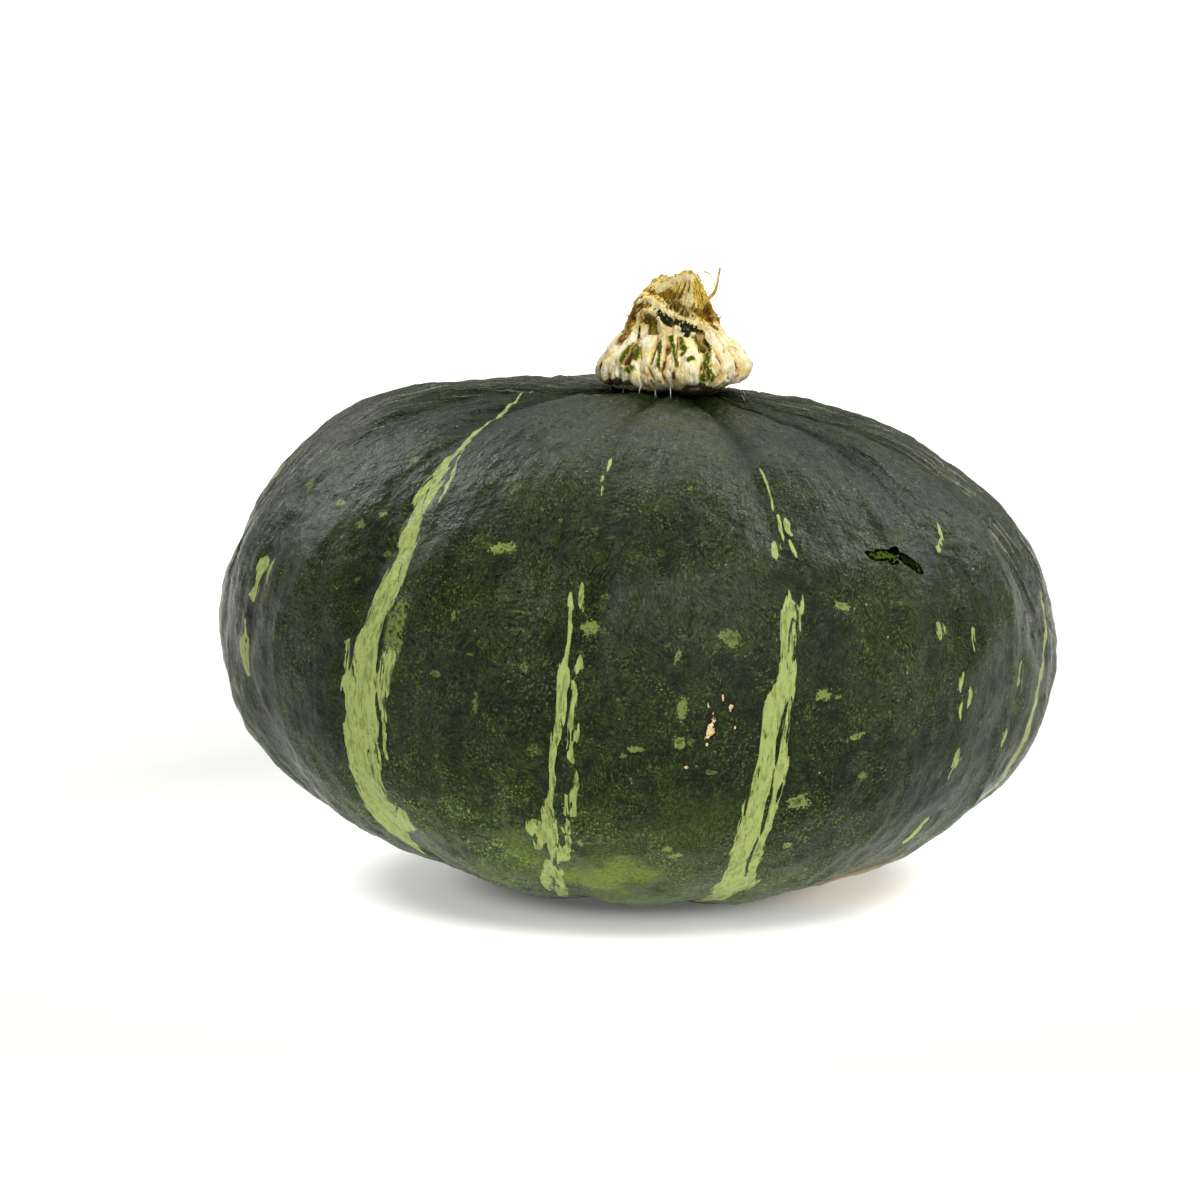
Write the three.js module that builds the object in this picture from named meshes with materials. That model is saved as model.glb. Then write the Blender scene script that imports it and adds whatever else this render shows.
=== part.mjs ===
// A kabocha squash: a flattened, ribbed winter squash with its corky stem, resting on its underside.
// Millimetres, +Z up. The front looks along -Y, and the origin is under the middle of the fruit,
// on the surface it rests on. A longitude is 0 at the front and grows towards +X, the right.
import * as THREE from "three";

// The fruit, in its own upright frame, whose centre is the middle of its widest ring.
const fruit = {
  radius: 90.2, // at the widest ring
  crownHeight: 56.0, // from the widest ring to the stem's end, before the crown sinks
  baseHeight: 55.8, // from the widest ring to the blossom's end
  crownFullness: 2.15, // exponent of the upper profile: 2 is an ellipse, more is squarer
  leftFuller: 0.16, // added to it at the left side, and taken off it at the right side
  rightLeaner: 0.09,
  baseFullness: 2.12, // exponent of the lower profile at the two sides
  frontFullness: 0.43, // added to it at the front and back, where the fruit hangs fuller
  crownDip: 3.4, // the broad hollow of the crown, and its share of the radius
  crownDipShare: 0.45,
  stemDimple: 0.3, // the small hollow right under the stem
  stemDimpleShare: 0.15,
  blossomDimple: 2.2, // the small hollow round the blossom scar
  blossomDimpleShare: 0.14,
  shoulderSwell: 3.3, // the left shoulder stands higher than the right
  shoulderLatitude: 46,
  shoulderSpread: 16,
  crest: { height: 2, longitude: -85, latitude: 62, spread: 12 }, // the highest rib's crest, above it
  crownShift: 6, // how far the stem's end grew off to the right
  lean: 3.6, // degrees that the fruit leans to the right as it rests
  flatSpot: 1.2, // how much its weight and growth have flattened the underside
};

// The furrows between its ribs: their longitudes, how deep each one is, and how many degrees it
// bends aside towards the crown.
const furrows = [
  { at: -172, depth: 2.2 },
  { at: -143, depth: 2.6 },
  { at: -117, depth: 2.1 },
  { at: -90, depth: 2.7, bend: -8 },
  { at: -64, depth: 2.9, bend: -14 },
  { at: -40, depth: 3.2, bend: -20 },
  { at: -9, depth: 2.0, bend: -7 },
  { at: 19, depth: 2.3 },
  { at: 48, depth: 2.4 },
  { at: 73, depth: 3.0 },
  { at: 101, depth: 2.3 },
  { at: 130, depth: 2.8 },
  { at: 159, depth: 2.5 },
];
const furrowSpread = 8; // degrees over which a furrow's side falls away
const furrowRound = 1.3; // degrees over which its bottom is rounded
const furrowFade = [0.06, 0.46]; // shares of the radius between which it fades out at the ends
const furrowBend = [36, 80]; // latitudes between which it bends
const ribSteps = 8; // facets across each rib
const fruitRows = 44;

// Soft swellings of the flesh: height, waves round the fruit and up it, and where they start.
const swellings = [
  { height: 0.75, round: 5, up: 2.0, turn: 40, lift: 20 },
  { height: 0.55, round: 9, up: 4.2, turn: 115, lift: 70 },
  { height: 0.4, round: 16, up: 6.5, turn: 10, lift: 35 },
];

// The stem, measured along its own axis from where it stands on the crown.
const stem = {
  leanLeft: 2.2, // degrees that it stands off upright
  leanBack: 4.0,
  topShift: 2.2, // how far its top has grown to the right
  clearance: 0.3, // between its foot and the fruit
  corkClimb: 1.6, // how much higher the cork reaches on the left than in the middle
};
// Its outline from the foot's edge up to the waist: radius and height.
const stemOutline = [
  [8.6, 0],
  [10.6, 0.6],
  [13.4, 1.2],
  [15.4, 2.3],
  [16.2, 4.1],
  [15.8, 6.3],
  [14.4, 8.4],
  [12.5, 10.3],
  [10.9, 11.8],
];
// The rim of its broken end: longitude and height.
const brokenRim = [
  [-135, 22.2],
  [-90, 19.6],
  [-48, 19.4],
  [0, 17.2],
  [45, 15.0],
  [85, 13.4],
  [125, 17.6],
  [168, 23.4],
];
// Its section from the waist over that rim into the hollow: radius, and share of the way up.
const brokenEnd = [
  [10.2, 0.3],
  [9.5, 0.65],
  [8.8, 0.92],
  [7.8, 1.0],
  [6.8, 0.93],
  [5.4, 0.62],
  [3.2, 0.4],
];
const hollowFloor = 15.2;
const stemLobes = { count: 13, height: 0.95, sharpness: 0.62 }; // the swollen lobes of the flange
const stemRidges = { count: 31, height: 0.3 }; // the finer corky ridges over them
const stemColumns = 93;
// Knots on the stem: longitude, height, how far they stand out, and how wide they are.
const stemKnots = [
  { at: -42, height: 15.0, rise: 1.7, width: 2.4 },
  { at: -42, height: 13.2, rise: -2.4, width: 1.5 },
  { at: -92, height: 15.4, rise: 1.2, width: 2.6 },
  { at: 84, height: 11.4, rise: 1.2, width: 2.2 },
  { at: 150, height: 10.4, rise: 1.5, width: 3.0 },
];

const colours = {
  skin: { color: 0x2d3a28, roughness: 0.42, metalness: 0 },
  cork: { color: 0xcdb98d, roughness: 0.85, metalness: 0 },
};

const radians = THREE.MathUtils.degToRad;
const bell = (x, width) => Math.exp(-((x / width) ** 2));
const fadeIn = (x, [from, to]) => THREE.MathUtils.smoothstep(x, from, to);
const signedPower = (x, power) => Math.sign(x) * Math.abs(x) ** power;
const degreesApart = (a, b) => Math.abs(THREE.MathUtils.euclideanModulo(a - b + 180, 360) - 180);

// How far the furrows sink the skin at a longitude and a latitude.
function furrowDepth(longitude, latitude) {
  let total = 0;
  for (const { at, depth, bend = 0 } of furrows) {
    const aside = degreesApart(longitude, at + bend * fadeIn(latitude, furrowBend));
    total += depth * Math.exp(-Math.hypot(aside, furrowRound) / furrowSpread);
  }
  return total;
}

// How far the flesh swells at a longitude and a latitude.
function swelling(longitude, latitude) {
  let height = 0;
  for (const wave of swellings) {
    const round = Math.sin(radians(wave.round * longitude + wave.turn));
    height += wave.height * round * Math.cos(radians(wave.up * latitude + wave.lift));
  }
  return height * Math.cos(radians(latitude)) ** 1.5;
}

// A point of the fruit's skin in its upright frame. The latitude runs from -90 at the blossom to 90.
function skinPoint(longitude, latitude) {
  const upper = latitude > 0;
  const turn = radians(longitude);
  const rise = radians(latitude);
  const side = Math.sin(turn);
  const fullness = upper
    ? fruit.crownFullness - side * (side < 0 ? fruit.leftFuller : fruit.rightLeaner)
    : fruit.baseFullness + fruit.frontFullness * Math.cos(turn) ** 2;
  const share = Math.abs(Math.cos(rise)) ** (2 / fullness);
  const reach = upper ? fruit.crownHeight : fruit.baseHeight;

  const outward = new THREE.Vector2(reach * Math.cos(rise), fruit.radius * Math.sin(rise)).normalize();
  const steepness = 0.65 + 0.5 * Math.sin(rise) ** 2; // furrows are deeper towards both ends
  let relief = -furrowDepth(longitude, latitude) * steepness * fadeIn(share, furrowFade);
  relief += swelling(longitude, latitude);
  if (upper) {
    relief -= fruit.crownDip * bell(share, fruit.crownDipShare);
    relief -= fruit.stemDimple * bell(share, fruit.stemDimpleShare);
  } else {
    relief -= fruit.blossomDimple * bell(share, fruit.blossomDimpleShare);
  }
  const leftness = (0.5 - 0.5 * side) ** 1.5;
  relief += fruit.shoulderSwell * bell(latitude - fruit.shoulderLatitude, fruit.shoulderSpread) * leftness;
  const { crest } = fruit;
  const asideOfCrest = degreesApart(longitude, crest.longitude) * Math.cos(radians(crest.latitude));
  relief += crest.height * bell(Math.hypot(asideOfCrest, latitude - crest.latitude), crest.spread);

  const radius = fruit.radius * share + outward.x * relief;
  const height = reach * signedPower(Math.sin(rise), 2 / fullness) + outward.y * relief;
  const shift = fruit.crownShift * THREE.MathUtils.clamp(height / fruit.crownHeight, 0, 1.2) ** 2;
  return new THREE.Vector3(radius * side + shift, -radius * Math.cos(turn), height);
}

// A closed surface from rings of points, each ring listed anticlockwise seen from above, and two ends.
function closedSurface(bottom, rings, top) {
  const columns = rings[0].length;
  const points = [bottom, ...rings.flat(), top];
  const at = (row, column) => 1 + row * columns + (column % columns);
  const faces = [];
  for (let column = 0; column < columns; column++) {
    faces.push(0, at(0, column + 1), at(0, column));
    for (let row = 0; row + 1 < rings.length; row++) {
      const [a, b] = [at(row, column), at(row, column + 1)];
      const [c, d] = [at(row + 1, column), at(row + 1, column + 1)];
      faces.push(a, b, d, a, d, c);
    }
    faces.push(at(rings.length - 1, column), at(rings.length - 1, column + 1), points.length - 1);
  }
  const geometry = new THREE.BufferGeometry().setFromPoints(points);
  geometry.setIndex(faces);
  return geometry;
}

// The longitudes of the fruit's columns: every furrow has one, and each rib is cut evenly.
function ribColumns() {
  return furrows.flatMap(({ at }, index) => {
    const next = furrows[(index + 1) % furrows.length].at + (index + 1 === furrows.length ? 360 : 0);
    return Array.from({ length: ribSteps }, (_, step) => at + ((next - at) * step) / ribSteps);
  });
}

const leaning = new THREE.Matrix4().makeRotationY(radians(fruit.lean));

function fruitRings() {
  const columns = ribColumns();
  const rings = [];
  for (let row = 1; row < fruitRows; row++) {
    const latitude = -90 + (180 * row) / fruitRows;
    rings.push(columns.map((longitude) => skinPoint(longitude, latitude).applyMatrix4(leaning)));
  }
  return rings;
}

// The stem stands on the crown, at the top of the leaning fruit.
const crown = skinPoint(0, 90).applyMatrix4(leaning);

// The skin of the leaning fruit at an offset from the crown, found by walking along its meridian.
function skinNearCrown(offset) {
  const longitude = THREE.MathUtils.radToDeg(Math.atan2(offset.x, -offset.y));
  const centre = skinPoint(0, 90);
  let [inner, outer] = [90, 55];
  for (let step = 0; step < 30; step++) {
    const latitude = (inner + outer) / 2;
    const point = skinPoint(longitude, latitude);
    if (Math.hypot(point.x - centre.x, point.y) < offset.length()) inner = latitude;
    else outer = latitude;
  }
  return skinPoint(longitude, inner).applyMatrix4(leaning);
}

// The lowest that a point of the stem may be, clear of the skin under it.
function heightClearOfSkin(point) {
  const offset = new THREE.Vector2(point.x - crown.x, point.y - crown.y);
  let skin = crown;
  for (let step = 0; step < 6; step++) {
    skin = skinNearCrown(offset);
    offset.x += point.x - skin.x;
    offset.y += point.y - skin.y;
  }
  return skin.z + stem.clearance;
}

// How far the stem's side stands out of its outline, at a longitude and a height.
function stemRelief(longitude, height) {
  const flange = bell(height - 4, 5);
  const wave = Math.abs(Math.sin(radians(stemLobes.count * longitude) / 2 + 0.35 * Math.sin(radians(longitude))));
  let relief = stemLobes.height * (wave ** stemLobes.sharpness - 0.5) * flange;
  relief += stemRidges.height * Math.sin(radians(stemRidges.count * longitude) + 0.25 * height);
  relief += 0.5 * Math.sin(radians(3 * longitude + 50)) * flange;
  for (const knot of stemKnots) {
    const across = (radians(degreesApart(longitude, knot.at)) * 12) / knot.width;
    relief += knot.rise * Math.exp(-(across ** 2) - ((height - knot.height) / knot.width) ** 2);
  }
  return relief;
}

const stemTurn = new THREE.Matrix4()
  .makeRotationX(radians(-stem.leanBack))
  .premultiply(new THREE.Matrix4().makeRotationY(radians(-stem.leanLeft)));

function stemPoint(longitude, radius, height) {
  const turn = radians(longitude);
  const top = THREE.MathUtils.clamp((height - 6) / 16, 0, 1);
  const climb = -stem.corkClimb * Math.sin(turn) * fadeIn(height, [4, 12]) * (1 - fadeIn(height, [12, 16]));
  return new THREE.Vector3(radius * Math.sin(turn) + stem.topShift * top, -radius * Math.cos(turn), height + climb)
    .applyMatrix4(stemTurn)
    .add(crown);
}

// The height of the broken end's rim: high at the back, low at the right.
function rimHeight(longitude) {
  const turned = THREE.MathUtils.euclideanModulo(longitude - brokenRim[0][0], 360) + brokenRim[0][0];
  let index = brokenRim.findLastIndex(([at]) => at <= turned);
  const [from, low] = brokenRim[index];
  const [to, high] = index + 1 < brokenRim.length ? brokenRim[index + 1] : [brokenRim[0][0] + 360, brokenRim[0][1]];
  const splinters = 0.3 * Math.sin(radians(7 * longitude)) + 0.2 * Math.sin(radians(12 * longitude + 40));
  return low + (high - low) * THREE.MathUtils.smoothstep(turned, from, to) + splinters;
}

function stemRings() {
  const longitudes = Array.from({ length: stemColumns }, (_, column) => (360 * column) / stemColumns);
  const rings = [];
  for (const share of [0.5, 1]) {
    rings.push(
      longitudes.map((longitude) => {
        const point = stemPoint(longitude, stemOutline[0][0] * share, 0);
        return point.setZ(heightClearOfSkin(point));
      }),
    );
  }
  const outline = new THREE.SplineCurve(stemOutline.map(([radius, height]) => new THREE.Vector2(radius, height)));
  for (const { x: radius, y: height } of outline.getSpacedPoints(16).slice(2)) {
    rings.push(
      longitudes.map((longitude) => {
        const point = stemPoint(longitude, radius + stemRelief(longitude, height), height);
        return height > 5 ? point : point.setZ(Math.max(point.z, heightClearOfSkin(point)));
      }),
    );
  }
  const waist = stemOutline.at(-1)[1];
  for (const [radius, share] of brokenEnd) {
    const outer = THREE.MathUtils.smoothstep(radius, 3, 9);
    rings.push(
      longitudes.map((longitude) => {
        const height = waist + (rimHeight(longitude) - waist) * share;
        return stemPoint(longitude, radius + stemRelief(longitude, height) * outer, height);
      }),
    );
  }
  return rings;
}

function bodyOf(name, geometry, look) {
  const mesh = new THREE.Mesh(geometry, new THREE.MeshStandardMaterial(look));
  mesh.name = name;
  return mesh;
}

// The fruit is set down: its lowest skin becomes a small flat spot at height 0, under its middle.
const blossom = skinPoint(0, -90).applyMatrix4(leaning);
const skinRings = fruitRings();
const reach = new THREE.Box3().setFromPoints(skinRings.flat());
const floor = reach.min.z + fruit.flatSpot;
const middle = reach.getCenter(new THREE.Vector3());
for (const point of skinRings.flat()) point.z = Math.max(point.z, floor);

const squash = new THREE.Group();
squash.position.set(-middle.x, -middle.y, -floor);
squash.add(bodyOf("fruit", closedSurface(blossom, skinRings, crown), colours.skin));

const foot = stemPoint(0, 0, stem.clearance);
squash.add(bodyOf("stem", closedSurface(foot, stemRings(), stemPoint(0, 0, hollowFloor)), colours.cork));

export default squash;
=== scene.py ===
# A kabocha squash: its ribbed green skin with pale stripes, its corky broken stem, and a pale studio.
# Blender works in metres, +Z up, and the front looks along -Y. Sizes in the dictionaries are in
# millimetres and angles in degrees. A longitude is 0 at the front and grows towards +X, and a
# latitude is 90 at the stem and -90 at the blossom.
import math
import random

import bmesh
import bpy
import numpy as np
from mathutils import Matrix, Vector
from mathutils.bvhtree import BVHTree


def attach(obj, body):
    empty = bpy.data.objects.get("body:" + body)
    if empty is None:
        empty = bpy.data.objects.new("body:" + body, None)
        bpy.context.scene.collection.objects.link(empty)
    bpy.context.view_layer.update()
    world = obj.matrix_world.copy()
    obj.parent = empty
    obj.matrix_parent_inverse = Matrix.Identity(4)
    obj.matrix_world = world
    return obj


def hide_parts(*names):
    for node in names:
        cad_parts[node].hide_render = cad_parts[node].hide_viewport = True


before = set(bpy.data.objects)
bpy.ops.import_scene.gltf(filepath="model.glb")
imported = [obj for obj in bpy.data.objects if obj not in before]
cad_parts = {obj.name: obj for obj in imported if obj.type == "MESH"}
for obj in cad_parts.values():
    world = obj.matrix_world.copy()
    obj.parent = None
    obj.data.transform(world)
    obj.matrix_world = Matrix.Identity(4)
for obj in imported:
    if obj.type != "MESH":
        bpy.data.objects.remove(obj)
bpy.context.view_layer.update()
print("frame loaded:", sorted(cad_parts))

millimetre = 0.001


# A socket of a node that can stand in sums, so that a formula in nodes reads as a formula.
class Wire:
    def __init__(self, socket):
        self.socket = socket

    def __neg__(self):
        return maths("MULTIPLY", self, -1.0)


def giveOperator(sign, operation):
    setattr(Wire, f"__{sign}__", lambda wire, other: maths(operation, wire, other))
    setattr(Wire, f"__r{sign}__", lambda wire, other: maths(operation, other, wire))


for sign, operation in dict(add="ADD", sub="SUBTRACT", mul="MULTIPLY", truediv="DIVIDE", pow="POWER").items():
    giveOperator(sign, operation)


# Adds a node, with its settings and its inputs, which are plain values or wires.
def addNode(tree, kind, values=(), **settings):
    node = tree.nodes.new(kind)
    for setting, value in settings.items():
        setattr(node, setting, value)
    for key, value in values.items() if isinstance(values, dict) else enumerate(values):
        if isinstance(value, Wire):
            tree.links.new(value.socket, node.inputs[key])
        elif value is not None:
            node.inputs[key].default_value = value
    return node


# The same, for one of its outputs.
def wireOf(tree, kind, values=(), output=0, **settings):
    return Wire(addNode(tree, kind, values, **settings).outputs[output])


def treeOf(values):
    return next(value.socket.id_data for value in values if isinstance(value, Wire))


def maths(operation, *values, clamp=False):
    return wireOf(treeOf(values), "ShaderNodeMath", values, operation=operation, use_clamp=clamp)


def vectorMaths(operation, *values):
    inputs = dict(zip((0, 3) if operation == "SCALE" else (0, 1, 2), values))
    output = 1 if operation in ("LENGTH", "DOT_PRODUCT", "DISTANCE") else 0
    return wireOf(treeOf(values), "ShaderNodeVectorMath", inputs, output, operation=operation)


def combine(x, y, z):
    return wireOf(treeOf((x, y, z)), "ShaderNodeCombineXYZ", (x, y, z))


def separate(vector):
    return [Wire(socket) for socket in addNode(treeOf([vector]), "ShaderNodeSeparateXYZ", [vector]).outputs]


# 0 before `low` and 1 after `high`, smooth between them, or the other way round where high < low.
def fade(value, low, high):
    inputs = (value, low, high, 0.0, 1.0)
    return wireOf(treeOf([value]), "ShaderNodeMapRange", inputs, interpolation_type="SMOOTHSTEP")


def bell(value, width):
    return maths("EXPONENT", -((value / width) ** 2.0))


def larger(a, b):
    return maths("MAXIMUM", a, b)


def smaller(a, b):
    return maths("MINIMUM", a, b)


def absolute(a):
    return maths("ABSOLUTE", a)


def length(u, v):
    return maths("SQRT", u * u + v * v)


def sine(degreesWire):
    return maths("SINE", degreesWire * (math.pi / 180))


# Noise between 0 and 1 whose features are about `grain` wide, in the units of the vector.
def noise(vector, grain, detail=2.0, roughness=0.5, distortion=0.0):
    inputs = {"Vector": vector, "Scale": 1 / grain, "Detail": detail, "Roughness": roughness, "Distortion": distortion}
    return wireOf(treeOf([vector]), "ShaderNodeTexNoise", inputs)


# The same as three numbers, for pushing a vector about.
def noiseVector(vector, grain, detail=1.0):
    inputs = {"Vector": vector, "Scale": 1 / grain, "Detail": detail}
    return vectorMaths("SUBTRACT", wireOf(treeOf([vector]), "ShaderNodeTexNoise", inputs, 1), (0.5, 0.5, 0.5))


# Cells about `grain` wide: how far a point is from its cell's middle, and the cell's own random number.
def cells(vector, grain, distance="EUCLIDEAN"):
    inputs = {"Vector": vector, "Scale": 1 / grain}
    node = addNode(treeOf([vector]), "ShaderNodeTexVoronoi", inputs, distance=distance)
    return Wire(node.outputs["Distance"]), separate(Wire(node.outputs["Color"]))[0]


def cellWalls(vector, grain):
    inputs = {"Vector": vector, "Scale": 1 / grain}
    return wireOf(treeOf([vector]), "ShaderNodeTexVoronoi", inputs, feature="DISTANCE_TO_EDGE")


def opaque(colour):
    return (*colour, 1.0) if isinstance(colour, tuple) else colour


def mixColour(below, above, share):
    inputs = {0: share, 6: opaque(below), 7: opaque(above)}
    return wireOf(treeOf((share, below, above)), "ShaderNodeMix", inputs, 2, data_type="RGBA", clamp_factor=True)


def mixNumber(below, above, share):
    inputs = {0: share, 2: below, 3: above}
    return wireOf(treeOf((share, below, above)), "ShaderNodeMix", inputs, clamp_factor=True)


def shiftedBy(vector, seed):
    steps = (seed * 37.7, seed * 11.3, seed * 23.9)
    return vectorMaths("ADD", vector, combine(*steps) if isinstance(seed, Wire) else steps)


# A new geometry tree with named inputs, as wires by their names, and its output node. An input's
# kind is that of its value, and one without a value is the source mesh.
def newTree(name, values):
    tree = bpy.data.node_groups.new(name, "GeometryNodeTree")
    for label, value in values.items():
        kind = "Geometry" if value is None else type(value).__name__.title()
        tree.interface.new_socket(label, in_out="INPUT", socket_type="NodeSocket" + kind)
    tree.interface.new_socket("Geometry", in_out="OUTPUT", socket_type="NodeSocketGeometry")
    start = tree.nodes.new("NodeGroupInput")
    wires = {label: Wire(start.outputs[label]) for label in values}
    return tree, wires, tree.nodes.new("NodeGroupOutput")


def position(tree):
    return wireOf(tree, "GeometryNodeInputPosition")


def stored(tree, name, kind="FLOAT"):
    return wireOf(tree, "GeometryNodeInputNamedAttribute", [name], data_type=kind)


def store(tree, geometry, name, value, kind="FLOAT"):
    inputs = {"Geometry": geometry, "Name": name, "Value": value}
    return wireOf(tree, "GeometryNodeStoreNamedAttribute", inputs, data_type=kind, domain="POINT")


# Moves each point to a Position, or by an Offset.
def move(tree, geometry, **inputs):
    return wireOf(tree, "GeometryNodeSetPosition", {"Geometry": geometry, **inputs})


# How far a relief in millimetres moves each point along its normal.
def outward(tree, relief):
    return vectorMaths("SCALE", wireOf(tree, "GeometryNodeInputNormal"), relief * millimetre)


def finishTree(tree, geometry, material, end):
    smooth = wireOf(tree, "GeometryNodeSetShadeSmooth", [geometry])
    plain = wireOf(tree, "GeometryNodeRealizeInstances", [smooth])
    dressed = wireOf(tree, "GeometryNodeSetMaterial", {"Geometry": plain, "Material": material})
    tree.links.new(dressed.socket, end.inputs[0])
    return tree


def newObject(name, data):
    made = bpy.data.objects.new(name, data)
    bpy.context.scene.collection.objects.link(made)
    return made


# What an object's modifiers or curve make, as a plain mesh.
def plainMesh(carrier, keepLayers=False):
    depsgraph = bpy.context.evaluated_depsgraph_get()
    evaluated = carrier.evaluated_get(depsgraph)
    return bpy.data.meshes.new_from_object(evaluated, preserve_all_data_layers=keepLayers, depsgraph=depsgraph)


# Runs a tree on a source mesh, or on nothing, and leaves a plain mesh at the origin.
def growPiece(name, tree, values, source=None):
    piece = newObject(name, source or bpy.data.meshes.new(name))
    grower = piece.modifiers.new("grower", "NODES")
    grower.node_group = tree
    for socket in tree.interface.items_tree:
        if socket.in_out == "INPUT" and values.get(socket.name) is not None:
            grower[socket.identifier] = values[socket.name]
    bpy.context.view_layer.update()
    grown = plainMesh(piece, keepLayers=True)
    piece.modifiers.clear()
    piece.data = grown
    grown.name = name
    print(f"{name}: {sum(len(face.vertices) - 2 for face in grown.polygons)} triangles")
    return piece


def placesOf(mesh):
    places = np.empty(len(mesh.vertices) * 3)
    mesh.vertices.foreach_get("co", places)
    return places.reshape(-1, 3)


def surfaceOf(mesh):
    places = [tuple(vertex.co) for vertex in mesh.vertices]
    return BVHTree.FromPolygons(places, [tuple(face.vertices) for face in mesh.polygons])


def writeAttribute(mesh, name, values, kind="FLOAT", domain="POINT"):
    layer = mesh.attributes.new(name, kind, domain)
    key = "vector" if kind == "FLOAT_VECTOR" else "value"
    layer.data.foreach_set(key, np.ascontiguousarray(values, dtype=np.float32).ravel())


# A material whose colour, roughness and relief in millimetres come from its own nodes.
def newMaterial(name, **finish):
    material = bpy.data.materials.new(name)
    material.use_nodes = True
    tree = material.node_tree
    shader = tree.nodes["Principled BSDF"]
    for label, value in finish.items():
        shader.inputs[label].default_value = value
    return material, tree, shader


def wireUp(tree, shader, colour, roughness, relief):
    tree.links.new(colour.socket, shader.inputs["Base Color"])
    tree.links.new(roughness.socket, shader.inputs["Roughness"])
    bump = addNode(tree, "ShaderNodeBump", {"Strength": 1.0, "Distance": millimetre, "Height": relief})
    tree.links.new(bump.outputs[0], shader.inputs["Normal"])


def objectPlace(tree):
    return vectorMaths("SCALE", wireOf(tree, "ShaderNodeTexCoord", output="Object"), 1 / millimetre)


def attribute(tree, name, output="Vector"):
    return wireOf(tree, "ShaderNodeAttribute", output=output, attribute_name=name)


# The fruit's own shape, as its solid has it, and the finer relief that its skin adds.
fruit = {
    "segments": 496,
    "rings": 198,
    "radius": 90.2,
    "crownHeight": 56.0,
    "baseHeight": 55.8,
    "crownFullness": 2.15,
    "leftFuller": 0.16,
    "rightLeaner": 0.09,
    "baseFullness": 2.12,
    "frontFullness": 0.43,
    "crownDip": (3.4, 0.45),  # depth, and share of the radius
    "stemDimple": (0.3, 0.15),
    "blossomDimple": (2.2, 0.14),
    "shoulderSwell": (3.3, 46, 16),  # height, latitude and spread
    "crest": (2, -85, 62, 12),  # height, longitude, latitude and spread
    "crownShift": 6,
    "lean": 3.6,
    "seat": (-0.4696, 0.7596, 54.1790),  # how far the leaning fruit is moved to stand on the floor
    "furrowSpread": 8,
    "furrowRound": 1.3,
    "furrowFade": (0.04, 0.32),  # shares of the radius between which a furrow sets in
    "furrowBend": (36, 80),  # latitudes between which it bends aside
    "furrowDepth": (0.65, 0.5),  # share of its depth round the middle, and what the ends add
    "lumpHeight": 2.0,
    "lumpWidth": 21.0,
    "dimpleHeight": 1.5,
    "dimpleWidth": 6.5,
    "wrinkleHeight": 1.5,
    "wrinkleWidth": 5.5,
    "crownRingHeight": 1.2,
    "crownRingWidth": 2.6,
    "crownRings": (40, 72),  # latitudes between which the rings set in
    "reliefAbove": (0.2, 5.0),  # heights over the floor between which the relief sets in
    "seed": 4.0,
}


# Chosen sizes of a piece under a tree's names for them: crownHeight is Crown Height.
def labelled(sizes, keys):
    return {"".join(" " + sign if sign.isupper() else sign for sign in key).title(): sizes[key] for key in keys}


skinInputs = labelled(fruit, [
    "segments", "rings", "radius", "crownHeight", "baseHeight",
    "lumpHeight", "dimpleHeight", "wrinkleHeight", "crownRingHeight", "seed",
])

# Longitude and depth of each furrow, and how far it bends aside towards the crown.
furrows = [
    (-172, 2.2, 0), (-143, 2.6, 0), (-117, 2.1, 0), (-90, 2.7, -8), (-64, 2.9, -14), (-40, 3.2, -20), (-9, 2.0, -7),
    (19, 2.3, 0), (48, 2.4, 0), (73, 3.0, 0), (101, 2.3, 0), (130, 2.8, 0), (159, 2.5, 0),
]

# Soft swellings: height, waves round the fruit and up it, and where they start.
swellings = [(0.75, 5, 2.0, 40, 20), (0.55, 9, 4.2, 115, 70), (0.4, 16, 6.5, 10, 35)]

# Single lumps and dents that the light picks out: longitude, latitude, width and height.
lumps = [
    (11.3, 28.8, 8, 1.1), (12.8, 14.7, 7, 0.9), (27.2, 27.7, 7, 1.0), (26.5, 14.0, 7, 0.7), (-1.5, 24.9, 7, 0.9),
    (-9.6, 31.5, 7, 0.7), (-21.3, 18.3, 6, 0.6), (3.5, 10.5, 7, 0.7), (17.0, 46.0, 6, -0.6), (-5.0, 50.0, 5, -0.6),
]


# A place whose x and y only turn with the longitude, so that noise on it runs along the meridians.
def meridianPlace(turnSine, turnCosine, height, radius=90.0):
    return combine(turnSine * radius, turnCosine * radius, height)


# How far a point is from a longitude and latitude, in radians.
def apartFrom(around, longitude, latitude):
    turn, lift = math.radians(longitude), math.radians(latitude)
    return vectorMaths("DISTANCE", around, (math.sin(turn), math.cos(turn), lift))


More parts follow.
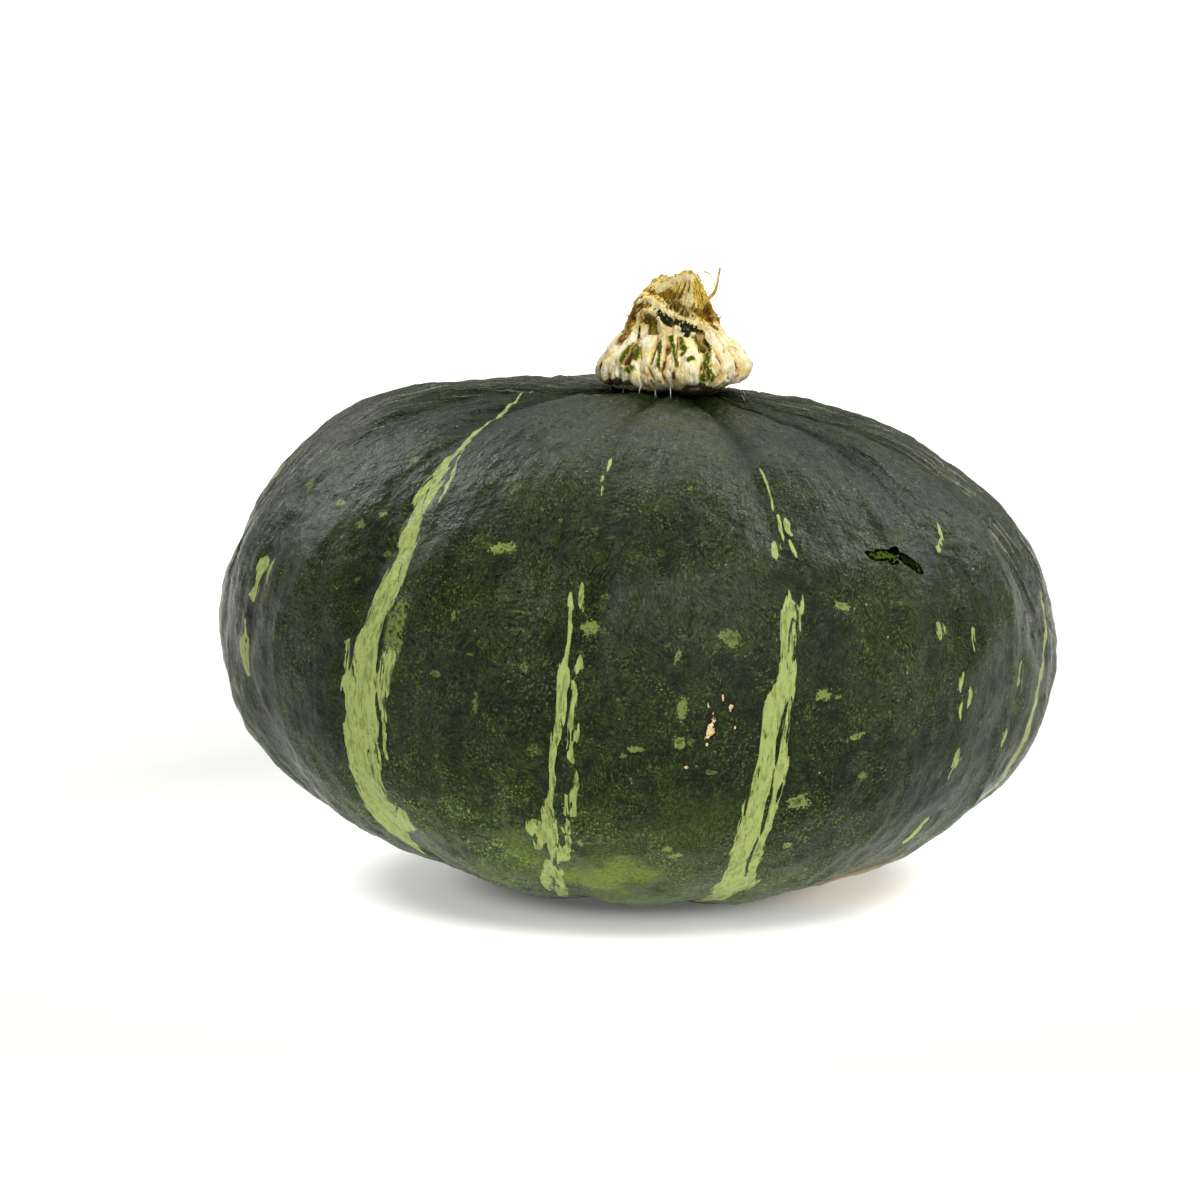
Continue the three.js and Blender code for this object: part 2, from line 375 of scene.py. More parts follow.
# The solid's own formula, in nodes: a point of the skin in millimetres for a point of a unit ball.
def skinPoint(x, y, z, radius, crownHeight, baseHeight):
    level = length(x, y)
    longitude = maths("ARCTAN2", x, -y) * (180 / math.pi)
    latitude = maths("ARCTAN2", z, level) * (180 / math.pi)
    turnSine, turnCosine = sine(longitude), sine(longitude + 90.0)
    upper = maths("GREATER_THAN", z, 0.0)
    baseFullness = fruit["baseFullness"] + fruit["frontFullness"] * turnCosine**2.0
    crownFullness = smaller(turnSine, 0.0) * -fruit["leftFuller"] + fruit["crownFullness"]
    crownFullness = crownFullness - larger(turnSine, 0.0) * fruit["rightLeaner"]
    fullness = mixNumber(baseFullness, crownFullness, upper)
    share = level ** (2.0 / fullness)
    reach = mixNumber(baseHeight, crownHeight, upper)
    outX, outZ = reach * level, radius * z
    outLength = length(outX, outZ)
    outX, outZ = outX / outLength, outZ / outLength

    bending = fade(latitude, *map(float, fruit["furrowBend"]))
    depths = 0.0
    for at, depth, bend in furrows:
        aside = maths("WRAP", longitude - (bending * bend + float(at)), 180.0, -180.0)
        roundedAside = maths("SQRT", aside * aside + fruit["furrowRound"] ** 2)
        depths = maths("EXPONENT", roundedAside * (-1.0 / fruit["furrowSpread"])) * depth + depths
    swelling = 0.0
    for height, wavesRound, wavesUp, turn, lift in swellings:
        wave = sine(longitude * wavesRound + turn) * sine(latitude * wavesUp + (lift + 90.0))
        swelling = wave * height + swelling

    middleDepth, endDepth = fruit["furrowDepth"]
    relief = -depths * (z * z * endDepth + middleDepth) * fade(share, *fruit["furrowFade"])
    relief = relief + swelling * level**1.5
    crownHollow = bell(share, fruit["crownDip"][1]) * fruit["crownDip"][0]
    crownHollow = crownHollow + bell(share, fruit["stemDimple"][1]) * fruit["stemDimple"][0]
    baseHollow = bell(share, fruit["blossomDimple"][1]) * fruit["blossomDimple"][0]
    relief = relief - mixNumber(baseHollow, crownHollow, upper)
    swell, swellLatitude, swellSpread = fruit["shoulderSwell"]
    leftness = larger(turnSine * -0.5 + 0.5, 0.0) ** 1.5
    relief = relief + bell(latitude - float(swellLatitude), float(swellSpread)) * leftness * swell
    crest, crestLongitude, crestLatitude, crestSpread = fruit["crest"]
    aside = maths("WRAP", longitude - float(crestLongitude), 180.0, -180.0) * math.cos(math.radians(crestLatitude))
    relief = relief + bell(length(aside, latitude - float(crestLatitude)), float(crestSpread)) * crest

    across = radius * share + outX * relief
    height = reach * maths("SIGN", z) * absolute(z) ** (2.0 / fullness) + outZ * relief
    shift = smaller(larger(height / crownHeight, 0.0), 1.2) ** 2.0 * fruit["crownShift"]
    skinX, skinY = across * turnSine + shift, -across * turnCosine
    leanSine, leanCosine = math.sin(math.radians(fruit["lean"])), math.cos(math.radians(fruit["lean"]))
    seatX, seatY, seatZ = fruit["seat"]
    placeX = skinX * leanCosine + height * leanSine + seatX
    placeZ = larger(height * leanCosine - skinX * leanSine + seatZ, 0.0)
    return combine(placeX, skinY + seatY, placeZ), longitude, latitude, depths


# The relief that the skin adds to the solid's shape, in millimetres.
def skinRelief(place, around, lumpHeight, dimpleHeight, wrinkleHeight, ringHeight, seed):
    *turn, rise = separate(around)
    moved = shiftedBy(place, seed)
    relief = (noise(moved, fruit["lumpWidth"], 2.0) - 0.5) * lumpHeight
    relief = relief + (noise(moved, fruit["dimpleWidth"], 3.0, 0.6) - 0.5) * dimpleHeight
    meridians = meridianPlace(*turn, rise * 9.0 + seed)
    relief = relief + (noise(meridians, fruit["wrinkleWidth"], 2.0, 0.6, 0.6) - 0.5) * wrinkleHeight
    crownRings = meridianPlace(*turn, rise * 62.0 + seed, radius=9.0)
    crownShare = fade(rise, *map(math.radians, fruit["crownRings"]))
    relief = relief + (noise(crownRings, fruit["crownRingWidth"], 2.0, 0.6, 0.4) - 0.5) * crownShare * ringHeight
    for longitude, latitude, width, height in lumps:
        relief = relief + bell(apartFrom(around, longitude, latitude), width / 75) * height
    return relief


def skinTree(material):
    tree, wires, end = newTree("skinTree", skinInputs)
    segments, rings, radius, crownHeight, baseHeight, *reliefInputs = wires.values()
    ball = wireOf(tree, "GeometryNodeMeshUVSphere", [segments, rings, 1.0])
    place, longitude, latitude, depths = skinPoint(*separate(position(tree)), radius, crownHeight, baseHeight)
    around = combine(sine(longitude), sine(longitude + 90.0), latitude * (math.pi / 180))
    marked = store(tree, store(tree, ball, "around", around, "FLOAT_VECTOR"), "furrow", depths)
    laid = move(tree, marked, Position=vectorMaths("SCALE", place, millimetre))

    where = vectorMaths("SCALE", position(tree), 1 / millimetre)
    relief = skinRelief(where, stored(tree, "around", "FLOAT_VECTOR"), *reliefInputs)
    offFloor = fade(separate(where)[2], *fruit["reliefAbove"])
    moved = move(tree, laid, Offset=outward(tree, relief * offFloor))
    x, y, z = separate(position(tree))
    seated = move(tree, moved, Position=combine(x, y, larger(z, 0.0)))
    return finishTree(tree, seated, material, end)


# Stripes: each is a strand of rows down the skin, with a latitude, a longitude and half its width.
# The broad ones come first, and the fine ones beside them may run close to their edges.
broadStrands = {
    "leftMain": [
        (72.6, -79.5, 0.2), (70.4, -70.0, 0.28), (68.0, -62.6, 0.33), (64.5, -56.2, 0.4),
        (61.2, -52.0, 0.46), (57.9, -48.9, 0.56), (53.5, -45.3, 0.7), (49.3, -42.7, 0.67), (46.3, -41.7, 0.65),
        (45.6, -41.8, 1.1), (44.4, -41.8, 1.28), (41.8, -40.7, 1.59), (39.3, -39.7, 1.72), (34.8, -39.3, 2.23),
        (30.1, -38.2, 2.21), (25.6, -37.9, 2.6), (24.4, -37.0, 2.52), (21.1, -36.9, 2.69), (16.6, -37.0, 3.07),
        (12.3, -37.3, 3.12), (8.8, -37.7, 2.44), (3.9, -38.3, 2.94), (0.3, -38.6, 3.4), (-1.7, -38.8, 4.9),
        (-3.3, -38.5, 6.12), (-4.5, -38.2, 5.63), (-7.2, -37.9, 5.38), (-10.2, -38.5, 5.7),
        (-12.8, -39.1, 4.86), (-15.5, -39.1, 4.47),
        (-19.1, -39.4, 4.18), (-24.0, -40.0, 4.3), (-27.5, -40.3, 3.66), (-29.0, -38.7, 6.35), (-31.7, -38.7, 6.28),
        (-34.4, -39.0, 6.01), (-37.8, -40.5, 4.5), (-39.8, -41.4, 3.2), (-42.6, -41.9, 1.4), (-46.0, -42.1, 0.7),
        (-50.0, -42.5, 0.3),
    ],
    "middleMain": [
        (20.4, -10.4, 0.11), (18.7, -10.2, 0.45), (16.2, -9.8, 0.56), (12.7, -9.5, 0.58), (9.4, -9.3, 0.46),
        (7.0, -9.4, 0.46), (5.7, -9.6, 0.7), (4.3, -9.4, 1.4), (2.5, -9.4, 1.4), (0.0, -9.4, 1.18),
        (-2.4, -9.5, 1.05), (-3.6, -9.9, 0.7), (-5.4, -10.0, 0.82), (-6.6, -10.1, 0.59), (-11.9, -10.3, 0.57),
        (-15.8, -10.3, 0.68), (-19.2, -10.8, 0.9), (-22.1, -11.0, 1.44), (-24.9, -10.9, 1.43), (-28.2, -10.8, 1.08),
        (-31.7, -11.0, 0.95), (-33.0, -10.0, 2.1), (-35.4, -10.1, 1.35), (-38.4, -11.7, 1.37), (-41.9, -11.6, 1.96),
        (-45.6, -13.4, 1.16), (-50.6, -14.4, 0.99), (-55.2, -15.0, 0.61),
    ],
    "rightMain": [
        (20.2, 19.8, 1.1), (19.0, 19.9, 1.9), (17.5, 19.7, 1.8), (15.0, 19.5, 1.82), (12.0, 19.4, 1.61),
        (8.8, 19.2, 1.62), (6.6, 19.3, 1.74), (4.9, 18.9, 2.1), (3.3, 18.9, 2.33), (1.6, 18.5, 2.92),
        (-0.2, 18.3, 3.27), (-4.7, 18.3, 3.25), (-8.6, 18.5, 3.46), (-10.4, 18.5, 3.33), (-12.5, 18.3, 3.66),
        (-17.7, 17.9, 3.49), (-20.6, 17.7, 3.34), (-23.3, 17.8, 3.63), (-26.1, 17.9, 3.36), (-30.3, 18.1, 3.69),
        (-33.0, 18.3, 3.72), (-35.9, 18.4, 3.34), (-38.1, 18.8, 4.04), (-42.2, 19.4, 4.24), (-45.8, 19.4, 4.16),
        (-49.5, 19.8, 3.2), (-53.0, 20.2, 2.4), (-60.0, 21.0, 1.5), (-67.0, 22.0, 0.6),
    ],
    "edgeRight": [
        (16.0, 80.8, 0.81), (12.1, 78.7, 0.82), (7.9, 76.1, 0.8), (2.8, 73.6, 0.9), (-2.3, 71.3, 1.18),
        (-6.6, 71.1, 1.5), (-9.0, 71.1, 2.1), (-12.5, 71.9, 2.3), (-15.2, 71.0, 1.3), (-18.5, 71.6, 1.6),
        (-26.1, 75.2, 1.1), (-36.0, 76.0, 1.2), (-48.0, 77.0, 0.8), (-58.0, 78.0, 0.4),
    ],
    "edgeLeft": [
        (13.8, -65.2, 1.52), (12.4, -65.3, 1.77), (10.6, -65.2, 1.18), (9.1, -64.9, 0.71), (7.8, -65.0, 0.82),
        (6.4, -65.8, 2.1), (5.9, -65.1, 0.9),
    ],
    "edgeLeftLow": [(-1.8, -66.2, 2.26), (-3.2, -66.3, 2.14), (-5.0, -66.1, 1.9), (-6.9, -65.8, 1.65)],
}
fineStrands = {
    "leftFork": [(50.8, -43.6, 0.25), (46.0, -40.2, 0.35), (42.3, -38.1, 0.37), (39.4, -37.0, 0.38),
                 (36.6, -35.9, 0.32), (34.3, -35.6, 0.25)],
    "leftSide": [(3.1, -34.4, 1.52), (1.0, -34.6, 1.17), (0.0, -34.7, 1.06), (-1.5, -34.8, 1.65), (-3.3, -35.2, 1.19)],
    "leftTail": [(-9.9, -34.9, 0.35), (-13.5, -35.2, 0.35), (-15.5, -35.1, 0.47)],
    "leftNub": [(3.7, -41.5, 0.82), (1.8, -41.2, 0.82), (-0.2, -41.4, 0.94)],
    "middleTopA": [(51.6, -11.5, 0.33), (49.3, -11.2, 0.32), (47.5, -10.9, 0.2)],
    "middleTopB": [(46.3, -11.3, 0.33), (44.7, -11.2, 0.2)],
    "middleTopC": [(43.6, -10.6, 0.29), (41.2, -10.1, 0.29)],
    "middleFoot": [(-41.9, -10.9, 1.12), (-45.6, -11.1, 0.89), (-50.7, -11.7, 0.83), (-55.7, -12.4, 0.8),
                   (-62.0, -13.9, 0.7)],
    "middleA": [(22.3, -9.1, 0.34), (20.5, -9.1, 0.56), (19.0, -8.8, 0.68), (16.6, -8.2, 0.46)],
    "middleC": [(7.8, -7.6, 0.25), (5.5, -7.8, 0.7), (4.3, -7.9, 0.35)],
    "middleD": [(3.1, -8.2, 0.23), (2.4, -8.2, 0.59), (0.1, -8.0, 0.82), (-0.9, -8.2, 0.47), (-2.1, -8.2, 0.71),
                (-4.5, -8.0, 0.58), (-6.5, -8.1, 0.47), (-8.3, -8.0, 0.82), (-9.3, -7.6, 0.47)],
    "middleE": [(-2.9, -7.1, 0.35), (-4.4, -7.2, 0.71), (-5.9, -7.4, 0.35)],
    "middleF": [(-10.8, -7.1, 0.12), (-12.2, -7.1, 0.58), (-13.8, -6.9, 0.71), (-16.4, -7.2, 0.7),
                (-18.8, -7.3, 0.58), (-20.7, -7.7, 1.03)],
    "middleG": [(-16.1, -8.5, 0.23), (-18.8, -8.6, 0.34), (-21.2, -8.6, 0.57)],
    "middleH": [(-22.4, -8.4, 0.7), (-24.9, -8.4, 1.13), (-26.4, -8.3, 1.0)],
    "middleI": [(-27.6, -8.4, 0.66), (-29.9, -8.3, 1.24), (-32.3, -9.1, 1.6), (-35.3, -9.6, 1.23),
                (-36.5, -9.7, 0.61)],
    "middleJ": [(-24.8, -13.1, 1.43), (-27.3, -12.9, 1.51), (-29.1, -12.6, 0.87), (-33.3, -13.1, 0.72)],
    "rightHair": [(52.6, 19.8, 0.15), (49.0, 20.1, 0.18), (44.5, 20.0, 0.17), (41.1, 19.5, 0.18)],
    "rightA": [(40.0, 20.2, 0.28), (36.9, 20.0, 0.29), (33.9, 20.0, 0.2)],
    "rightB": [(38.8, 21.1, 0.47), (36.4, 21.2, 0.67), (34.8, 21.4, 0.49)],
    "rightC": [(33.3, 18.5, 0.7), (31.5, 18.3, 0.82), (29.7, 18.3, 0.62)],
    "rightD": [(33.9, 20.9, 0.2), (31.8, 21.2, 0.3), (30.0, 21.5, 0.31)],
    "rightSpikeA": [(22.9, 19.6, 0.11), (21.0, 19.5, 0.44), (19.0, 19.3, 0.79)],
    "rightSpikeB": [(22.3, 21.7, 0.11), (20.1, 21.5, 0.33), (18.4, 21.2, 0.56)],
    "edgeLeftB": [(14.7, -62.3, 0.58), (12.6, -61.9, 0.58), (10.0, -61.6, 0.47)],
    "edgeLeftC": [(1.8, -66.5, 0.36), (0.0, -65.9, 0.35), (-1.5, -65.3, 0.36)],
    "farRightA": [(37.0, 53.3, 0.29), (33.6, 52.3, 0.3), (31.9, 50.6, 1.01), (30.7, 50.0, 0.41)],
    "farRightB": [(15.3, 45.0, 1.12), (13.9, 44.9, 1.35), (12.7, 44.7, 0.68)],
    "farRightC": [(13.9, 51.6, 0.46), (11.5, 51.3, 0.69), (9.0, 51.4, 0.35)],
    "farRightD": [(4.8, 48.7, 0.35), (2.8, 48.3, 0.46), (1.2, 48.2, 0.35)],
    "farRightE": [(1.2, 50.3, 0.59), (-0.2, 50.3, 0.7), (-1.4, 49.8, 0.46)],
    "farRightF": [(-0.8, 48.7, 0.35), (-2.1, 48.6, 0.47), (-3.5, 48.8, 0.23)],
    "farRightG": [(-9.8, 49.7, 0.8), (-12.2, 49.7, 1.15), (-14.4, 49.7, 0.56), (-16.5, 49.8, 0.22)],
    "farRightH": [(-28.2, 51.4, 1.15), (-31.4, 51.2, 0.81), (-35.7, 51.3, 0.59)],
    "rightEdgeA": [(4.2, 64.4, 0.7), (2.4, 64.1, 0.7), (0.1, 63.8, 0.59)],
    "rightEdgeB": [(-8.6, 62.5, 0.58), (-10.1, 62.4, 1.15), (-11.7, 62.5, 0.8)],
}
dullStrands = {
    "leftSideDull": [
        (12.9, -33.8, 1.73), (10.8, -33.9, 2.56), (7.8, -34.0, 2.45), (4.9, -33.9, 2.35), (2.4, -34.3, 1.8),
        (-1.5, -34.6, 1.2),
    ],
}

# Dark gaps in the stripes.
cutStrands = {
    "leftGap": [(10.5, -36.2, 0.2), (8.2, -36.0, 0.5), (6.0, -35.8, 0.75), (2.8, -35.8, 0.6), (0.5, -34.8, 0.25)],
    "leftHolesA": [
        (-2.8, -36.0, 0.2), (-5.0, -35.8, 0.6), (-8.2, -35.5, 0.5), (-12.0, -35.8, 0.7), (-15.5, -35.8, 0.2),
    ],
    "leftHolesB": [(-14.2, -38.2, 0.15), (-18.5, -38.2, 0.35), (-23.2, -38.5, 0.3)],
    "leftFoot": [(-23.2, -35.0, 0.2), (-27.5, -35.5, 0.5), (-34.2, -38.8, 0.2)],
    "leftTopA": [(39.2, -40.8, 0.1), (35.2, -39.2, 0.3), (31.2, -37.8, 0.15)],
    "leftTopB": [(24.8, -38.0, 0.15), (20.2, -37.0, 0.35), (17.0, -36.0, 0.15)],
    "leftNubEdge": [(1.8, -41.0, 0.15), (-0.5, -40.2, 0.3), (-3.0, -39.2, 0.1)],
    "rightCutA": [(17.5, 20.0, 0.15), (13.8, 19.5, 0.4), (10.2, 19.5, 0.2)],
    "rightCutB": [(1.2, 19.8, 0.2), (-1.0, 19.2, 0.5), (-3.5, 19.0, 0.6), (-6.5, 19.0, 0.5), (-8.8, 19.0, 0.2)],
    "rightCutC": [(-6.5, 18.5, 0.15), (-11.2, 18.8, 0.45), (-16.5, 18.8, 0.6), (-20.8, 18.8, 0.5), (-25.8, 19.0, 0.2)],
    "rightCutD": [(-11.8, 20.2, 0.2), (-14.2, 20.0, 0.5), (-17.0, 20.0, 0.2)],
    "rightCutE": [(-22.2, 18.5, 0.2), (-27.5, 18.8, 0.5), (-33.5, 19.0, 0.45), (-40.0, 20.0, 0.2)],
    "rightCutF": [(-31.5, 21.2, 0.2), (-37.0, 21.5, 0.5), (-42.8, 22.8, 0.2)],
    "rightCutG": [(-9.8, 15.8, 0.1), (-14.8, 15.8, 0.25), (-20.2, 15.8, 0.1)],
    "middleCut": [(4.5, -8.7, 0.1), (0.5, -8.5, 0.3), (-3.0, -8.7, 0.3), (-6.8, -8.7, 0.1)],
    "middleCutFoot": [(-32.0, -10.2, 0.15), (-36.8, -10.8, 0.4), (-42.2, -10.8, 0.2)],
}

# Pale flecks: longitude, latitude, half width, half height, turn and strength.
flecks = [
    (-21.6, 26.8, 2.5, 1.1, 12, 1.0), (-24.1, 39.1, 0.8, 1.8, -20, 0.45), (-25.5, 12.4, 0.5, 0.9, 0, 0.8),
    (-14.7, 4.5, 0.8, 1.3, 10, 0.6), (-26.8, 1.2, 1.2, 0.5, 0, 0.7), (-6.9, 13.3, 1.3, 1.5, 0, 0.9),
    (-5.4, 19.3, 0.8, 0.7, 0, 0.6), (-68.1, 37.9, 1.7, 1.7, 0, 0.5), (-47.4, 42.3, 0.7, 0.9, 0, 0.7),
    (-53.8, 29.5, 1.1, 0.8, 0, 0.8), (-47.2, 26.7, 1.1, 0.9, 0, 0.7), (-44.5, 30.1, 0.7, 0.7, 0, 0.9),
    (-40.5, 22.8, 0.9, 0.7, 0, 0.6), (-43.3, 16.0, 0.6, 0.6, 0, 0.6), (-16.2, 11.4, 2.4, 0.3, 0, 0.5),
    (-16.2, 14.8, 1.8, 0.25, 0, 0.45), (11.4, 12.7, 2.0, 1.4, -20, 0.75), (4.8, 9.1, 0.5, 1.4, -12, 0.8),
    (5.9, 0.1, 0.9, 1.4, -15, 0.8), (5.9, -4.2, 1.1, 0.8, 0, 0.9), (7.2, -4.1, 0.6, 0.6, 0, 0.6),
    (27.9, 19.8, 1.9, 0.7, -12, 1.0), (24.5, 2.4, 1.5, 0.9, 0, 0.9), (26.7, 1.9, 0.7, 0.3, 12, 0.8),
    (29.9, -3.8, 1.8, 0.4, 10, 0.9), (35.1, 35.5, 1.6, 0.6, 0, 0.4), (-0.6, 39.4, 0.6, 0.8, 0, 0.5),
    (0.3, -5.6, 1.4, 0.5, 0, 0.8), (-1.2, -6.9, 0.7, 0.5, 0, 0.7), (10.2, -9.2, 1.2, 0.4, 0, 0.6),
    (31.8, -11.3, 1.0, 0.7, 0, 0.8), (38.3, 20.1, 1.3, 0.5, 0, 0.4), (-12.6, -7.7, 1.3, 1.0, 0, 0.5),
    (-6.7, -29.1, 0.8, 1.0, 0, 0.9), (23.0, -16.4, 2.0, 1.9, 0, 1.0), (24.0, -28.5, 0.8, 1.3, 0, 1.0),
    (-21.0, -1.8, 0.5, 1.0, 0, 0.6), (-65.8, 30.9, 1.3, 1.0, 0, 0.6), (5.9, -28.5, 1.0, 1.0, 30, 1.1),
    (7.2, -30.5, 1.4, 0.8, 40, 1.0), (46.1, 14.1, 1.4, 1.0, 0, 0.5), (62.1, 28.3, 0.9, 1.1, 0, 0.5),
    (67.2, 26.5, 1.4, 1.6, 0, 0.5), (4.5, 44.1, 0.4, 0.6, 0, 0.6), (-22.2, 5.4, 0.7, 0.25, 0, 0.6),
    (-2.1, 0.4, 0.4, 0.4, 0, 0.5), (-14.8, 34.5, 0.4, 0.5, 0, 0.6), (-26.8, -12.5, 0.5, 0.5, 0, 0.6),
    (-19.5, -34.0, 1.4, 0.7, -30, 0.8), (-17.5, -36.5, 1.6, 0.6, -35, 0.7), (-0.5, -32.0, 1.2, 0.5, 20, 0.7),
]

# Healed nicks: longitude, latitude, half width, half height, turn and strength.
scabs = [
    (9.6, -2.3, 0.72, 1.3, -22, 1.0), (9.2, 0.2, 0.17, 0.6, 14, 0.9), (11.0, 1.6, 0.22, 0.55, 12, 0.9),
    (12.1, 0.2, 0.42, 0.5, 0, 0.9), (12.0, -0.9, 0.2, 0.22, 0, 0.9), (10.4, -0.6, 0.13, 0.3, -30, 0.8),
    (12.8, -2.0, 0.22, 0.22, 0, 1.0), (9.3, -4.4, 0.27, 0.3, 0, 1.0), (8.9, -3.6, 0.2, 0.3, 0, 0.3),
    (6.9, -8.3, 0.3, 0.3, 0, 1.0), (8.2, -8.1, 0.2, 0.2, 0, 0.2),
]

# The arms of the torn gash: longitude, latitude, half width, half height, turn and greenness.
gashes = [
    (36.9, 30.5, 2.2, 1.0, 6, 1.0), (35.0, 30.4, 1.2, 0.8, -30, 0.8), (38.4, 29.7, 1.1, 1.3, 18, 1.0),
    (41.5, 29.0, 2.7, 0.95, -38, 0.15), (39.4, 31.2, 1.3, 0.7, 25, 0.0), (43.3, 27.5, 1.2, 0.9, -30, 0.6),
]

markings = {
    "seed": 23,
    "freckles": 300,
    "freckleLatitude": (-58, 55),
    "freckleWidth": (0.25, 0.9),
    "hiddenFurrows": [-172, -143, -117, -90, 101, 130, 159],  # those at the back, which bear a stripe each
    "hiddenTop": (8, 42),  # latitudes that their stripes start at
    "hiddenFoot": (-62, -50),
    "hiddenWidth": (1.2, 4.2),
    "hiddenSteps": 26,
    "streaksBeside": (4, 8),
    "streakAside": (2.2, 4.2),  # degrees
    "streakLength": (3, 11),
    "streakWidth": (0.3, 1.0),
    "aroundPerDegree": 1.574,  # millimetres round the middle
    "alongPerDegree": (0.98, 0.6),  # millimetres up the middle, and what the ends add
    "endTaper": 1.1,
    "far": -6.0,  # half the width where there is no strand
    "strandReach": (8, 42),  # degrees up and round within which a strand is laid
    "ovalFar": 9.0,
    "ovalReach": 3.2,
}


def aroundPerDegree(latitude):
    return markings["aroundPerDegree"] * np.maximum(np.cos(np.radians(latitude)), 0.02) ** 0.93


def alongPerDegree(latitude):
    middle, ends = markings["alongPerDegree"]
    return middle + ends * np.sin(np.radians(latitude)) ** 2


def degreesAside(longitude, at):
    return (longitude - at + 180) % 360 - 180


# Stripes for the furrows at the back: one broad strand each, and a few fine ones beside it.
def hiddenStrands(draw):
    broad, fine = {}, {}
    for index, furrow in enumerate(markings["hiddenFurrows"]):
        top, foot = draw.uniform(*markings["hiddenTop"]), draw.uniform(*markings["hiddenFoot"])
        widest, wander = draw.uniform(*markings["hiddenWidth"]), 0.0
        rows, steps = [], markings["hiddenSteps"]
        for step in range(steps + 1):
            share = step / steps
            wander = 0.8 * wander + draw.uniform(-0.5, 0.5)
            girth = widest * min(1.0, 0.25 + 1.5 * share) * min(1.0, 3.2 * (1.02 - share))
            rows.append((top + (foot - top) * share, furrow + wander, max(0.2, girth * draw.uniform(0.8, 1.2))))
        broad[f"hidden{index}"] = rows
        for streak in range(draw.randint(*markings["streaksBeside"])):
            start = draw.uniform(-40, top + 22)
            at = furrow + draw.choice((-1, 1)) * draw.uniform(*markings["streakAside"])
            fall = draw.uniform(*markings["streakLength"])
            girth = draw.uniform(*markings["streakWidth"])
            middle = (start - fall / 2, at + draw.uniform(-0.4, 0.4), girth)
            fine[f"hidden{index}streak{streak}"] = [(start, at, girth * 0.5), middle, (start - fall, at, girth * 0.4)]
    return broad, fine


# For each corner of each face: how far aside of the nearest strand it is, half that strand's width,
# which runs below zero past its ends, and the strand's tone.
def layStrands(longitude, latitude, strands, draw):
    faceLatitude, faceLongitude = latitude.mean(axis=1), longitude[:, 0]
    reachUp, reachRound = markings["strandReach"]
    nearest = np.full(len(longitude), 20.0)
    laid = np.zeros((*longitude.shape, 3), dtype=np.float32)
    laid[..., 1] = markings["far"]
    for rows in strands.values():
        tone = draw.uniform(0.85, 1.0)
        rows = np.array(sorted(rows))
        low, high = rows[0, 0], rows[-1, 0]
        near = (faceLatitude > low - reachUp) & (faceLatitude < high + reachUp)
        near &= np.abs(degreesAside(faceLongitude, rows[:, 1].mean())) < reachRound
        lat, lon = latitude[near], longitude[near]
        aside = degreesAside(lon, np.interp(lat, rows[:, 0], rows[:, 1])) * aroundPerDegree(lat)
        past = np.maximum(low - lat, 0) + np.maximum(lat - high, 0)
        half = np.interp(lat, rows[:, 0], rows[:, 2]) - past * alongPerDegree(lat) * markings["endTaper"]
        half = np.maximum(half, markings["far"])
        outside = (np.abs(aside) - half).min(axis=1)
        closer = outside < nearest[near]
        chosen = np.flatnonzero(near)[closer]
        nearest[chosen] = outside[closer]
        laid[chosen] = np.stack([aside, half, np.full_like(half, tone)], axis=-1)[closer]
    return laid


# For each corner of each face: its place in the nearest oval mark, which is 1 at the oval's edge.
def layOvals(longitude, latitude, ovals):
    faceLatitude, faceLongitude = latitude.mean(axis=1), longitude[:, 0]
    nearest = np.full(len(longitude), markings["ovalFar"])
    laid = np.zeros((*longitude.shape, 3), dtype=np.float32)
    laid[..., :2] = markings["ovalFar"]
    for at, height, wide, tall, turn, strength in ovals:
        reach = markings["ovalReach"] * max(wide, tall) + 2
        around, along = aroundPerDegree(height), alongPerDegree(height)
        near = np.abs(faceLatitude - height) * along < reach
        near &= np.abs(degreesAside(faceLongitude, at)) * around < reach
        x = degreesAside(longitude[near], at) * around
        y = (latitude[near] - height) * along
        level, steep = math.cos(math.radians(turn)), math.sin(math.radians(turn))
        u, v = (x * level + y * steep) / wide, (y * level - x * steep) / tall
        apart = np.hypot(u, v).min(axis=1)
        closer = apart < nearest[near]
        chosen = np.flatnonzero(near)[closer]
        nearest[chosen] = apart[closer]
        laid[chosen] = np.stack([u, v, np.full_like(u, strength)], axis=-1)[closer]
    return laid


# One whole number of each face or corner of a mesh.
def numbersOf(items, key):
    numbers = np.empty(len(items), dtype=np.int32)
    items.foreach_get(key, numbers)
    return numbers


